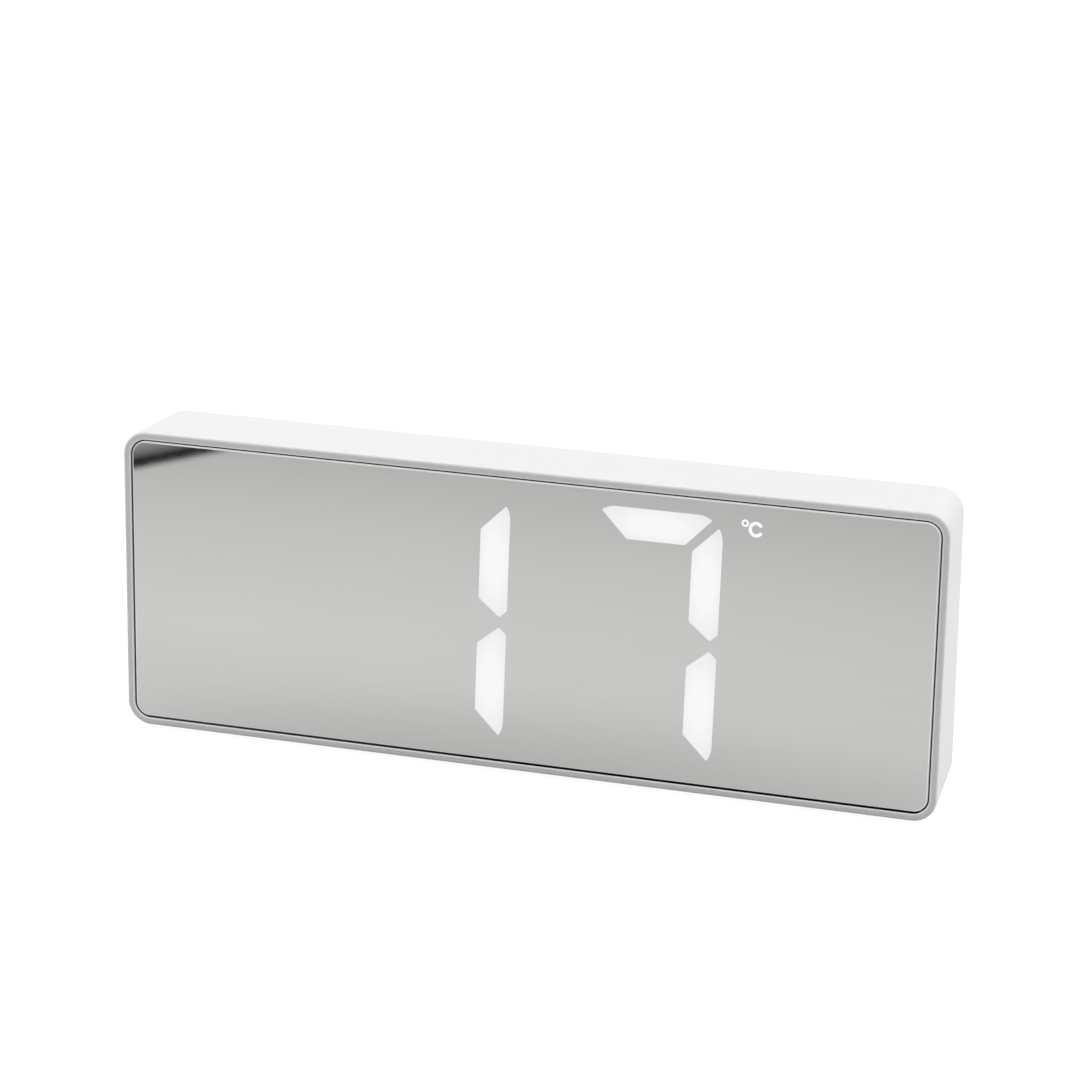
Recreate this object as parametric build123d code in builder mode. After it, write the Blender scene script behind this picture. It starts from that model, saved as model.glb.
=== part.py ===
"""A slim digital LED desk clock with a mirrored face, as an assembly of separate pieces.

The clock stands on four rubber pads. X runs across the front, Y from the front to the back and Z up.
The origin lies on the table, under the middle of the clock. Sizes are in millimetres.
"""

import os
from math import cos, radians, sin, sqrt, tan

from build123d import *

# Overall body; its depth follows from the display, the cells and the door behind them
body_width = 163.0
body_height = 60.3
back_lean = 3.8
corner_radius = 4.7
side_draft = 1.4
top_draft = 0.3
wall = 1.8
front_edge_radius = 0.5
rear_edge_chamfer = 0.5
cut_overrun = 1.0

# Rubber pads under the body
pad_diameter = 8.0
pad_thickness = 1.4
pad_proud = 0.7
pad_edge_chamfer = 0.3
pad_gap = 0.1
pad_from_side = 19.5
pad_from_front = 7.5
pad_from_back = 6.5

# Mirrored panel in its pocket
rim = 1.5
rim_bevel = 0.2
panel_gap = 0.25
panel_recess = 0.1
panel_thickness = 1.6
panel_chamfer = 0.2
tape_thickness = 0.2
tape_inset = 0.4
tape_clearance = 0.3

# Ledge that carries the panel, and the window in it
ledge_thickness = 1.2
window_radius = 2.0
window_side_margin = 3.18
window_end_margin = 1.17

# Display: four digits, a colon and a unit sign
digit_count = 4
digit_corner_radius = 5.0
stroke = 5.8
joint_gap = 2.0
digit_gap = 8.6
colon_gap = 15.64
lean_share = 0.021
waist_tip_inset = 1.6
waist_inner_rise = 3.6
waist_outer_rise = 1.5
colon_diameter = 5.0
colon_height = 9.0
unit_width = 4.9
unit_height = 4.0
unit_beside_digit = 0.15
unit_below_top = 1.85
unit_corner = 0.8

# Layers of the display behind the panel
film_thickness = 0.3
reflector_front_thickness = 1.1
reflector_flange_thickness = 2.1
reflector_clearance = 0.3
board_thickness = 1.2
board_left_gap = 5.8
board_right_gap = 1.3
board_end_gap = 1.2
board_side_lap = 1.1
board_end_lap = 0.6
led_length = 2.8
led_width = 1.6
led_thickness = 0.8

# Posts and hooks that hold the board
board_post_diameter = 4.4
board_post_from_edge = 3.0
board_post_from_end = 4.5
board_post_window_gap = 1.2
board_post_clearance = 0.3
board_hole_diameter = 2.3
board_pilot_diameter = 1.8
board_pilot_floor = 0.5
board_screw_head_diameter = 3.8
board_screw_head_height = 1.3
board_screw_shank_diameter = 1.7
board_screw_end_gap = 0.3
hook_reach = 2.5
hook_thickness = 1.5
hook_width = 6.0
hook_height = 12.0
hook_clearance = 0.1

# Rear cover and its screws
cover_thickness = 2.0
cover_gap = 0.15
cover_post_diameter = 4.2
cover_post_clearance = 0.4
cover_post_from_side = 6.0
cover_post_from_end = 4.9
post_rib_thickness = 1.2
cover_boss_diameter = 5.2
cover_boss_height = 0.6
cover_pilot_diameter = 1.8
cover_pilot_depth = 9.0
cover_hole_diameter = 2.4
cover_screw_floor = 1.0
cover_screw_head_diameter = 4.0
cover_screw_head_height = 1.3
cover_screw_head_clearance = 0.2
cover_screw_shank_diameter = 1.7
cover_screw_length = 9.0
cover_screw_slot_length = 2.4
driver_slot_width = 0.6
driver_slot_depth = 0.5

# Battery bay for three small cells, side by side
cell_diameter = 10.5
cell_length = 44.5
cell_nub_diameter = 3.8
cell_nub_length = 0.8
cell_edge_chamfer = 0.4
cell_spacing = 0.4
cell_count = 3
cell_clearance = 0.3
cell_floor_gap = 0.1
cell_door_gap = 0.54
bay_floor = 0.8
bay_wall = 1.4
bay_board_gap = 0.3
bay_bottom_gap = 2.35
contact_thickness = 0.4
contact_side_inset = 0.95
contact_depth_inset = 0.75
contact_dimple = 0.2
contact_dimple_diameter = 2.0
spring_height = 4.6
spring_width = 5.0
spring_thickness = 0.3
spring_foot_inset = 0.9
spring_end_gap = 0.05
lug_width = 2.0
lug_reach = 2.0
lug_clearance = 0.1

# Battery door, tilting on two pins along its lower edge
door_recess = 0.3
door_thickness = 1.5
door_gap = 0.2
door_seat = 0.8
door_seat_gap = 0.1
door_pin_diameter = 1.0
door_pin_length = 0.9
door_pin_clearance = 0.05
door_pin_end_gap = 0.1
door_slot_width = 0.8
door_slot_length = 8.0
door_tongue_width = 10.0
door_corner_radius = 0.6
opening_corner_radius = 0.4
notch_width = 13.0
notch_height = 4.0
notch_depth = 1.2
notch_corner = 2.0
grip_rib_width = 0.8
grip_rib_length = 7.0
grip_rib_proud = 0.25
grip_rib_pitch = 1.8
grip_rib_count = 3
grip_from_edge = 2.2

# Push buttons on the back and the switches under them
button_names = ["mode", "set", "up", "down"]
button_diameter = 7.0
button_hole_gap = 0.25
button_pitch = 11.0
button_from_side = 13.5
button_from_top = 14.0
button_proud = 1.0
button_edge_chamfer = 0.5
button_travel = 0.5
flange_diameter = 9.0
flange_thickness = 1.0
flange_gap = 0.3
stem_diameter = 4.4
stem_length = 2.3
switch_side = 6.0
switch_height = 3.5
switch_well_floor = 1.6
plunger_diameter = 3.4
plunger_well_gap = 0.15
plunger_depth = 0.8

# Sounder behind its grille
sounder_diameter = 12.0
sounder_height = 8.5
sounder_hole_diameter = 2.0
sounder_hole_depth = 1.5
sounder_edge_chamfer = 0.6
sounder_from_side = 31.5
sounder_from_bottom = 21.0
grille_hole_diameter = 1.6
grille_ring_radius = 3.2
grille_ring_count = 6

# Power inlet on its own small board, held in rails on the cover
inlet_from_side = 21.5
inlet_from_bottom = 14.0
inlet_width = 7.5
inlet_height = 2.6
inlet_length = 5.6
inlet_wall = 0.3
inlet_back_wall = 0.8
inlet_corner = 0.7
inlet_recess = 0.4
inlet_opening_gap = 0.3
tongue_width = 4.0
tongue_height = 0.6
tongue_length = 3.6
inlet_board_width = 14.0
inlet_board_length = 9.0
inlet_board_thickness = 1.0
inlet_board_end_gap = 0.1
rail_width = 2.4
rail_height = 3.4
rail_grip = 1.0
rail_clearance = 0.1

# Parts on the back of the display board
chip_side = 10.0
chip_height = 1.4
chip_from_side = 33.5
chip_level = 6.0
driver_chip_length = 10.0
driver_chip_width = 5.2
driver_chip_height = 1.6
driver_chip_bay_gap = 4.55
driver_chip_level = 7.0
driver_chip_spacing = 18.0
crystal_diameter = 3.0
crystal_length = 8.0
crystal_from_side = 21.5
crystal_level = -3.0
capacitor_diameter = 5.0
capacitor_height = 7.0
capacitor_edge_chamfer = 0.5
capacitor_from_side = 10.5
capacitor_level = 4.75
capacitor_spacing = 6.5
sensor_bead_diameter = 2.4
sensor_bead_length = 2.6
sensor_bead_chamfer = 0.6
sensor_lead_diameter = 0.5
sensor_lead_spacing = 1.2
sensor_lead_length = 6.8
sensor_from_side = 17.5
sensor_from_top = 13.0
vent_width = 1.2
vent_length = 9.0
vent_pitch = 2.8
vent_count = 4

# Wires inside the case
wire_diameter = 1.2
inlet_wire_spread = 4.0

# Places of the board, the window and the digits, from the sides of the body inwards
board_from_left = side_draft + wall + board_left_gap
board_from_right = side_draft + wall + board_right_gap
board_from_end = wall + board_end_gap
board_width = body_width - board_from_left - board_from_right
board_height = body_height - 2 * board_from_end
board_offset = (board_from_left - board_from_right) / 2
board_post_x = body_width / 2 - board_from_left - board_post_from_edge
board_post_z = board_height / 2 - board_post_from_end
board_post_places = [(-board_post_x, board_post_z), (-board_post_x, -board_post_z)]
window_from_left = body_width / 2 - board_post_x + board_post_diameter / 2 + board_post_window_gap
window_from_right = board_from_right + board_side_lap
window_from_end = board_from_end + board_end_lap
window_width = body_width - window_from_left - window_from_right
window_height = body_height - 2 * window_from_end
window_offset = (window_from_left - window_from_right) / 2
display_width = window_width - 2 * window_side_margin
digit_width = (display_width - 2 * digit_gap - colon_gap) / digit_count
digit_height = window_height - 2 * window_end_margin
inner_digit_x = (digit_width + colon_gap) / 2
outer_digit_x = inner_digit_x + digit_width + digit_gap
digit_places = [window_offset + x for x in (-outer_digit_x, -inner_digit_x, inner_digit_x, outer_digit_x)]
unit_right = window_offset + inner_digit_x + digit_width / 2 + digit_gap - unit_beside_digit
unit_place = (unit_right - unit_width / 2, digit_height / 2 - unit_below_top)
colon_places = [(window_offset, colon_height), (window_offset, -colon_height)]
level_led_z = (digit_height - stroke) / 2
upright_led_x = (digit_width - stroke) / 2
upright_led_z = level_led_z / 2
bevel = joint_gap / sqrt(2)
arc_short = (sqrt(2 * digit_corner_radius**2 - bevel**2) - bevel) / 2
arc_long = arc_short + bevel

# Layers from the face backwards, each at its depth behind the rim's front
panel_front = panel_recess
panel_back = panel_front + panel_thickness
ledge_front = panel_back + tape_thickness
ledge_back = ledge_front + ledge_thickness
film_back = panel_back + film_thickness
flange_front = film_back + reflector_front_thickness
board_front = flange_front + reflector_flange_thickness
board_back = board_front + board_thickness
bay_front = board_back + bay_board_gap
bay_inside = bay_front + bay_floor
cell_depth = bay_inside + cell_floor_gap + cell_diameter / 2

# Battery bay, from the bottom of the body upwards
cell_pitch = cell_diameter + cell_spacing
bay_length = cell_length + spring_height + contact_dimple + 2 * contact_thickness
bay_height = (cell_count - 1) * cell_pitch + cell_diameter + 2 * cell_clearance
bay_bottom = wall + bay_bottom_gap + bay_wall
bay_top = bay_bottom + bay_height
bay_level = (bay_bottom + bay_top - body_height) / 2
bay_wall_outside = bay_length / 2 + bay_wall
cell_levels = [bay_level + (i - (cell_count - 1) / 2) * cell_pitch for i in range(cell_count)]
cell_start = bay_length / 2 - contact_thickness - spring_height
contact_width = cell_diameter - 2 * contact_side_inset
contact_depth = cell_diameter - 2 * contact_depth_inset
spring_foot = contact_depth / 2 - spring_foot_inset
spring_rise = spring_height - spring_end_gap

# The back slopes, and is as deep at the foot as the cells and the door need
rear_slope = radians(back_lean)
door_through = (door_recess + door_thickness) / cos(rear_slope)
foot_depth = cell_depth + cell_diameter / 2 + cell_door_gap + door_through + bay_top * tan(rear_slope)
front = -foot_depth / 2
middle = pad_proud + body_height / 2

# Shell, cover and the pieces on the board
cavity_width = body_width - 2 * side_draft - 2 * wall
cavity_height = body_height - 2 * wall
cavity_radius = corner_radius - wall
panel_width = body_width - 2 * rim - 2 * panel_gap
panel_height = body_height - 2 * rim - 2 * panel_gap
reflector_width = window_width - 2 * reflector_clearance
reflector_height = window_height - 2 * reflector_clearance
cover_width = cavity_width - 2 * cover_gap
cover_height = cavity_height - 2 * cover_gap
cover_post_x = body_width / 2 - cover_post_from_side
cover_post_z = body_height / 2 - cover_post_from_end
cover_post_places = [(a * cover_post_x, b * cover_post_z) for a in (1, -1) for b in (1, -1)]
post_rib_length = cavity_width / 2 - cover_post_x + wall / 2
post_rib_x = cover_post_x + post_rib_length / 2
hook_x = cavity_width / 2 - hook_reach / 2 + wall / 2
pad_x = body_width / 2 - pad_from_side
pad_depths = (pad_from_front, foot_depth - pad_from_back)
pad_places = [(side * pad_x, front + depth) for side in (1, -1) for depth in pad_depths]
button_first = button_from_side - body_width / 2
button_level = body_height / 2 - button_from_top
button_places = [button_first + i * button_pitch for i in range(len(button_names))]
sounder_place = (sounder_from_side - body_width / 2, sounder_from_bottom - body_height / 2)
inlet_x = body_width / 2 - inlet_from_side
inlet_level = inlet_from_bottom - body_height / 2
chip_place = (body_width / 2 - chip_from_side, chip_level)
driver_chip_place = (bay_wall_outside + driver_chip_bay_gap + driver_chip_length / 2, driver_chip_level)
crystal_x = body_width / 2 - crystal_from_side
capacitor_place = (body_width / 2 - capacitor_from_side, capacitor_level)
sensor_place = (body_width / 2 - sensor_from_side, body_height / 2 - sensor_from_top)
lead_x = bay_wall_outside + lug_reach / 2
lead_places = [(-lead_x, cell_levels[-1]), (lead_x, cell_levels[0])]


def face_plane(depth):
    """Plane parallel to the front at this depth, with its middle on the body's middle; +Z of it looks forward."""
    return Plane(origin=(0, front + depth, middle), x_dir=(1, 0, 0), z_dir=(0, -1, 0))


def rear_plane(inset=0):
    """Plane of the sloping back, moved inwards; its +Z looks into the clock and its +Y climbs the slope."""
    place = (0, front + rear_depth(0), middle)
    inward = (0, -cos(rear_slope), -sin(rear_slope))
    return Plane(origin=place, x_dir=(1, 0, 0), z_dir=inward).offset(inset)


def rear_depth(level):
    """Depth of the back's outer face at a height above the body's middle."""
    return foot_depth - (level + body_height / 2) * tan(rear_slope)


def post_end(level):
    """Depth at which a cover post stops, so that the cover's boss lies flat on it."""
    thinnest = rear_depth(level + cover_boss_diameter / 2)
    return thinnest - cover_thickness / cos(rear_slope) - cover_boss_height


def side_plane(x, depth, level, facing=1):
    """Plane across the clock's length at a point; its +Z looks right, or left where facing is -1."""
    return Plane(origin=(x, front + depth, middle + level), x_dir=(0, 1, 0), z_dir=(facing, 0, 0))


def rear_point(x, climb, inset):
    """A point given along the sloping back, in the clock's own frame."""
    return rear_plane(inset).from_local_coords((x, climb, 0))


def leaned(x, z):
    """A point of a digit, moved sideways by the digits' lean."""
    return (x + lean_share * z, z)


def level_segment(up):
    """Top (up 1) or bottom (up -1) segment of a digit, with two rounded outer corners."""
    tip_x = digit_width / 2 - digit_corner_radius + arc_short
    tip_z = up * (digit_height / 2 - digit_corner_radius + arc_long)
    flat_x = digit_width / 2 - digit_corner_radius
    flat_z = up * digit_height / 2
    inner_x = digit_width / 2 - stroke - bevel
    inner_z = up * (digit_height / 2 - stroke)
    with BuildLine() as outline:
        Line(leaned(-flat_x, flat_z), leaned(flat_x, flat_z))
        TangentArc(leaned(flat_x, flat_z), leaned(tip_x, tip_z), tangent=(1, 0))
        Polyline(leaned(tip_x, tip_z), leaned(inner_x, inner_z), leaned(-inner_x, inner_z), leaned(-tip_x, tip_z))
        TangentArc(leaned(-flat_x, flat_z), leaned(-tip_x, tip_z), tangent=(-1, 0))
    make_face(outline.edges())


def upright_segment(side, up):
    """One of the four upright segments of a digit, right (side 1) or left, upper (up 1) or lower."""
    outer_x = side * digit_width / 2
    corner_z = up * (digit_height / 2 - digit_corner_radius)
    tip_x = side * (digit_width / 2 - digit_corner_radius + arc_long)
    tip_z = up * (digit_height / 2 - digit_corner_radius + arc_short)
    inner_x = side * (digit_width / 2 - stroke)
    inner_z = up * (digit_height / 2 - stroke - bevel)
    waist_x = side * (digit_width / 2 - waist_tip_inset)
    waist_z = up * joint_gap / 2
    with BuildLine() as outline:
        TangentArc(leaned(outer_x, corner_z), leaned(tip_x, tip_z), tangent=(up * lean_share, up))
        Polyline(
            leaned(tip_x, tip_z),
            leaned(inner_x, inner_z),
            leaned(inner_x, waist_z + up * waist_inner_rise),
            leaned(waist_x, waist_z),
            leaned(outer_x, waist_z + up * waist_outer_rise),
            leaned(outer_x, corner_z),
        )
    make_face(outline.edges())


def middle_segment():
    """The pointed bar across the middle of a digit."""
    flat_x = digit_width / 2 - stroke - bevel
    half = stroke / 2
    with BuildLine() as outline:
        Polyline(
            leaned(flat_x, half),
            leaned(flat_x + half, 0),
            leaned(flat_x, -half),
            leaned(-flat_x, -half),
            leaned(-flat_x - half, 0),
            leaned(-flat_x, half),
            close=True,
        )
    make_face(outline.edges())


# Places that follow the sloping back
cover_through = cover_thickness / cos(rear_slope)
flange_back = rear_depth(button_level + flange_diameter / 2) - cover_through - flange_gap
stem_end = flange_back - flange_thickness - stem_length
opening_width = bay_length + 2 * door_seat
opening_height = bay_height / cos(rear_slope) + 2 * door_seat
door_middle = bay_level / cos(rear_slope)
door_width = opening_width - 2 * door_gap
door_top = door_middle + opening_height / 2 - door_gap
door_axis = door_middle - opening_height / 2 + door_gap + door_thickness / 2
door_axis_inset = door_recess + door_thickness / 2
door_pin_reach = door_width / 2 + door_pin_length
door_axis_plane = Plane(origin=rear_point(0, door_axis, door_axis_inset), x_dir=(0, 1, 0), z_dir=(1, 0, 0))
inlet_board_level = inlet_level - inlet_height / 2 - inlet_board_thickness / 2
inlet_board_top = inlet_level - inlet_height / 2
inlet_board_back = rear_depth(inlet_board_top) - cover_through - inlet_board_end_gap
inlet_board_front = inlet_board_back - inlet_board_length
inlet_mouth = rear_depth(inlet_level + inlet_height / 2) - inlet_recess
rail_spacing = inlet_board_width - 2 * rail_grip + rail_width
rail_end = rear_depth(inlet_board_level + rail_height / 2) - cover_thickness / 2

os.makedirs("parts", exist_ok=True)

# One digit of seven segments
with BuildSketch(Plane.XY) as digit:
    for up in (1, -1):
        level_segment(up)
        upright_segment(1, up)
        upright_segment(-1, up)
    middle_segment()

# Front shell: drafted box with a thin rim, a ledge for the panel, posts, hooks and pad pockets
with BuildPart() as front_shell:
    with BuildSketch(face_plane(0)):
        RectangleRounded(body_width, body_height, corner_radius)
    with BuildSketch(face_plane(foot_depth)):
        with Locations((0, -top_draft / 2)):
            RectangleRounded(body_width - 2 * side_draft, body_height - top_draft, corner_radius)
    loft()
    split(bisect_by=rear_plane(), keep=Keep.TOP)
    fillet(front_shell.faces().sort_by(Axis.Y)[0].edges(), front_edge_radius)
    chamfer(front_shell.faces().sort_by(Axis.Y)[-1].edges(), rear_edge_chamfer)
    with BuildSketch(face_plane(ledge_back)):
        RectangleRounded(cavity_width, cavity_height, cavity_radius)
    extrude(amount=-foot_depth, mode=Mode.SUBTRACT)
    with BuildSketch(face_plane(0)):
        RectangleRounded(body_width - 2 * rim, body_height - 2 * rim, corner_radius - rim)
    extrude(amount=-ledge_front, mode=Mode.SUBTRACT)
    with BuildSketch(face_plane(ledge_front)):
        with Locations((window_offset, 0)):
            RectangleRounded(window_width, window_height, window_radius)
    extrude(amount=-ledge_thickness, mode=Mode.SUBTRACT)
    chamfer(front_shell.faces().sort_by(Axis.Y)[0].inner_wires()[0].edges(), rim_bevel)
    for level in (cover_post_z, -cover_post_z):
        with BuildSketch(face_plane(ledge_back)):
            with Locations((cover_post_x, level), (-cover_post_x, level)):
                Circle(cover_post_diameter / 2)
            with Locations((post_rib_x, level), (-post_rib_x, level)):
                Rectangle(post_rib_length, post_rib_thickness)
        extrude(amount=ledge_back - post_end(level))
        with BuildSketch(face_plane(post_end(level))):
            with Locations((cover_post_x, level), (-cover_post_x, level)):
                Circle(cover_pilot_diameter / 2)
        extrude(amount=cover_pilot_depth, mode=Mode.SUBTRACT)
    with BuildSketch(face_plane(ledge_back)):
        with Locations(*board_post_places):
            Circle(board_post_diameter / 2)
    extrude(amount=ledge_back - board_front)
    with BuildSketch(face_plane(board_front)):
        with Locations(*board_post_places):
            Circle(board_pilot_diameter / 2)
    extrude(amount=board_front - ledge_front - board_pilot_floor, mode=Mode.SUBTRACT)
    with BuildSketch(face_plane(board_back + hook_clearance)):
        with Locations((hook_x, hook_height), (hook_x, -hook_height)):
            Rectangle(hook_reach + wall, hook_width)
    extrude(amount=-hook_thickness)
    with BuildSketch(Plane.XY.offset(pad_proud)):
        with Locations(*pad_places):
            Circle(pad_diameter / 2 + pad_gap)
    extrude(amount=pad_thickness - pad_proud, mode=Mode.SUBTRACT)

# Mirrored panel with a bevelled front edge
with BuildPart() as mirror_panel:
    with BuildSketch(face_plane(panel_front)):
        RectangleRounded(panel_width, panel_height, corner_radius - rim - panel_gap)
    extrude(amount=-panel_thickness)
    chamfer(mirror_panel.faces().sort_by(Axis.Y)[0].edges(), panel_chamfer)

# Adhesive frame between the panel and the ledge
with BuildPart() as panel_tape:
    with BuildSketch(face_plane(panel_back)):
        RectangleRounded(panel_width - 2 * tape_inset, panel_height - 2 * tape_inset, window_radius)
        with Locations((window_offset, 0)):
            tape_width = window_width + 2 * tape_clearance
            tape_height = window_height + 2 * tape_clearance
            RectangleRounded(tape_width, tape_height, window_radius, mode=Mode.SUBTRACT)
    extrude(amount=-tape_thickness)

# Diffuser film over the wells
with BuildPart() as diffuser_film:
    with BuildSketch(face_plane(panel_back)):
        with Locations((window_offset, 0)):
            RectangleRounded(reflector_width, reflector_height, window_radius)
    extrude(amount=-film_thickness)

# Reflector block: raised front in the window, flange behind the ledge, and a well for every light
with BuildPart() as reflector_block:
    with BuildSketch(face_plane(film_back)):
        with Locations((window_offset, 0)):
            RectangleRounded(reflector_width, reflector_height, window_radius)
    extrude(amount=-reflector_front_thickness)
    with BuildSketch(face_plane(flange_front)):
        with Locations((board_offset, 0)):
            Rectangle(board_width, board_height)
        with Locations(*board_post_places):
            Circle(board_post_diameter / 2 + board_post_clearance, mode=Mode.SUBTRACT)
        with Locations(*cover_post_places):
            Circle(cover_post_diameter / 2 + cover_post_clearance, mode=Mode.SUBTRACT)
    extrude(amount=-reflector_flange_thickness)
    with BuildSketch(face_plane(film_back)):
        with Locations(*[(x, 0) for x in digit_places]):
            add(digit.sketch)
        with Locations(*colon_places):
            Circle(colon_diameter / 2)
        with Locations(unit_place):
            RectangleRounded(unit_width, unit_height, unit_corner)
    extrude(amount=film_back - board_front, mode=Mode.SUBTRACT)

# Display board
with BuildPart() as led_board:
    with BuildSketch(face_plane(board_front)):
        with Locations((board_offset, 0)):
            Rectangle(board_width, board_height)
        with Locations(*board_post_places):
            Circle(board_hole_diameter / 2, mode=Mode.SUBTRACT)
        with Locations(*cover_post_places):
            Circle(cover_post_diameter / 2 + cover_post_clearance, mode=Mode.SUBTRACT)
    extrude(amount=-board_thickness)

# Light-emitting chips, one at the middle of every well
with BuildPart() as segment_leds:
    with BuildSketch(face_plane(board_front)):
        for x in digit_places:
            with Locations(*[(x + lean_share * z, z) for z in (level_led_z, 0, -level_led_z)]):
                Rectangle(led_length, led_width)
            for z in (upright_led_z, -upright_led_z):
                lean = lean_share * z
                with Locations((x + upright_led_x + lean, z), (x - upright_led_x + lean, z)):
                    Rectangle(led_width, led_length)
        with Locations(*colon_places, unit_place):
            Rectangle(led_length, led_width)
    extrude(amount=led_thickness)

# Control chip
with BuildPart() as control_chip:
    with BuildSketch(face_plane(board_back)):
        with Locations(chip_place):
            Rectangle(chip_side, chip_side)
    extrude(amount=-chip_height)

# Driver chips
with BuildPart() as driver_chips:
    with BuildSketch(face_plane(board_back)):
        with Locations(driver_chip_place):
            with GridLocations(0, driver_chip_spacing, 1, 2):
                Rectangle(driver_chip_length, driver_chip_width)
    extrude(amount=-driver_chip_height)

# Watch crystal, lying on the board
with BuildPart() as watch_crystal:
    with BuildSketch(side_plane(crystal_x, board_back + crystal_diameter / 2, crystal_level)):
        Circle(crystal_diameter / 2)
    extrude(amount=crystal_length / 2, both=True)

# Capacitors
with BuildPart() as capacitors:
    with BuildSketch(face_plane(board_back)):
        with Locations(capacitor_place):
            with GridLocations(0, capacitor_spacing, 1, 2):
                Circle(capacitor_diameter / 2)
    extrude(amount=-capacitor_height)
    chamfer(capacitors.faces().sort_by(Axis.Y)[-2:].edges(), capacitor_edge_chamfer)

# Temperature sensor: a bead on two leads
with BuildPart() as temperature_sensor:
    with BuildSketch(face_plane(board_back + sensor_lead_length)):
        with Locations(sensor_place):
            Circle(sensor_bead_diameter / 2)
    extrude(amount=-sensor_bead_length)
    chamfer(temperature_sensor.edges().filter_by(GeomType.CIRCLE), sensor_bead_chamfer)
    with BuildSketch(face_plane(board_back)):
        with Locations(sensor_place):
            with GridLocations(sensor_lead_spacing, 0, 2, 1):
                Circle(sensor_lead_diameter / 2)
    extrude(amount=-sensor_lead_length)

# Sounder can with its sound hole
with BuildPart() as sounder:
    with BuildSketch(face_plane(board_back)):
        with Locations(sounder_place):
            Circle(sounder_diameter / 2)
    extrude(amount=-sounder_height)
    chamfer(sounder.faces().sort_by(Axis.Y)[-1].edges(), sounder_edge_chamfer)
    with BuildSketch(face_plane(board_back + sounder_height)):
        with Locations(sounder_place):
            Circle(sounder_hole_diameter / 2)
    extrude(amount=sounder_hole_depth, mode=Mode.SUBTRACT)

# Push switches, each with a well for its plunger
with BuildPart() as push_switches:
    with BuildSketch(face_plane(board_back)):
        with Locations(*[(x, button_level) for x in button_places]):
            Rectangle(switch_side, switch_side)
    extrude(amount=-switch_height)
    with BuildSketch(face_plane(board_back + switch_height)):
        with Locations(*[(x, button_level) for x in button_places]):
            Circle(plunger_diameter / 2 + plunger_well_gap)
    extrude(amount=switch_height - switch_well_floor, mode=Mode.SUBTRACT)

# Buttons, each with a flange behind the cover and a stem, and the plunger that each one works
for name, x in zip(button_names, button_places):
    with BuildPart() as button:
        with BuildSketch(face_plane(flange_back)):
            with Locations((x, button_level)):
                Circle(button_diameter / 2)
        extrude(amount=flange_back - rear_depth(button_level) - button_proud)
        chamfer(button.faces().sort_by(Axis.Y)[-1].edges(), button_edge_chamfer)
        with BuildSketch(face_plane(flange_back)):
            with Locations((x, button_level)):
                Circle(flange_diameter / 2)
        extrude(amount=flange_thickness)
        with BuildSketch(face_plane(flange_back - flange_thickness)):
            with Locations((x, button_level)):
                Circle(stem_diameter / 2)
        extrude(amount=stem_length)
    with BuildPart() as plunger:
        with BuildSketch(face_plane(stem_end)):
            with Locations((x, button_level)):
                Circle(plunger_diameter / 2)
        extrude(amount=stem_end - board_back - switch_height + plunger_depth)
    button.part.label = f"button_{name}"
    export_step(button.part, f"parts/button_{name}.step")
    plunger.part.label = f"plunger_{name}"
    export_step(plunger.part, f"parts/plunger_{name}.step")

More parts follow.
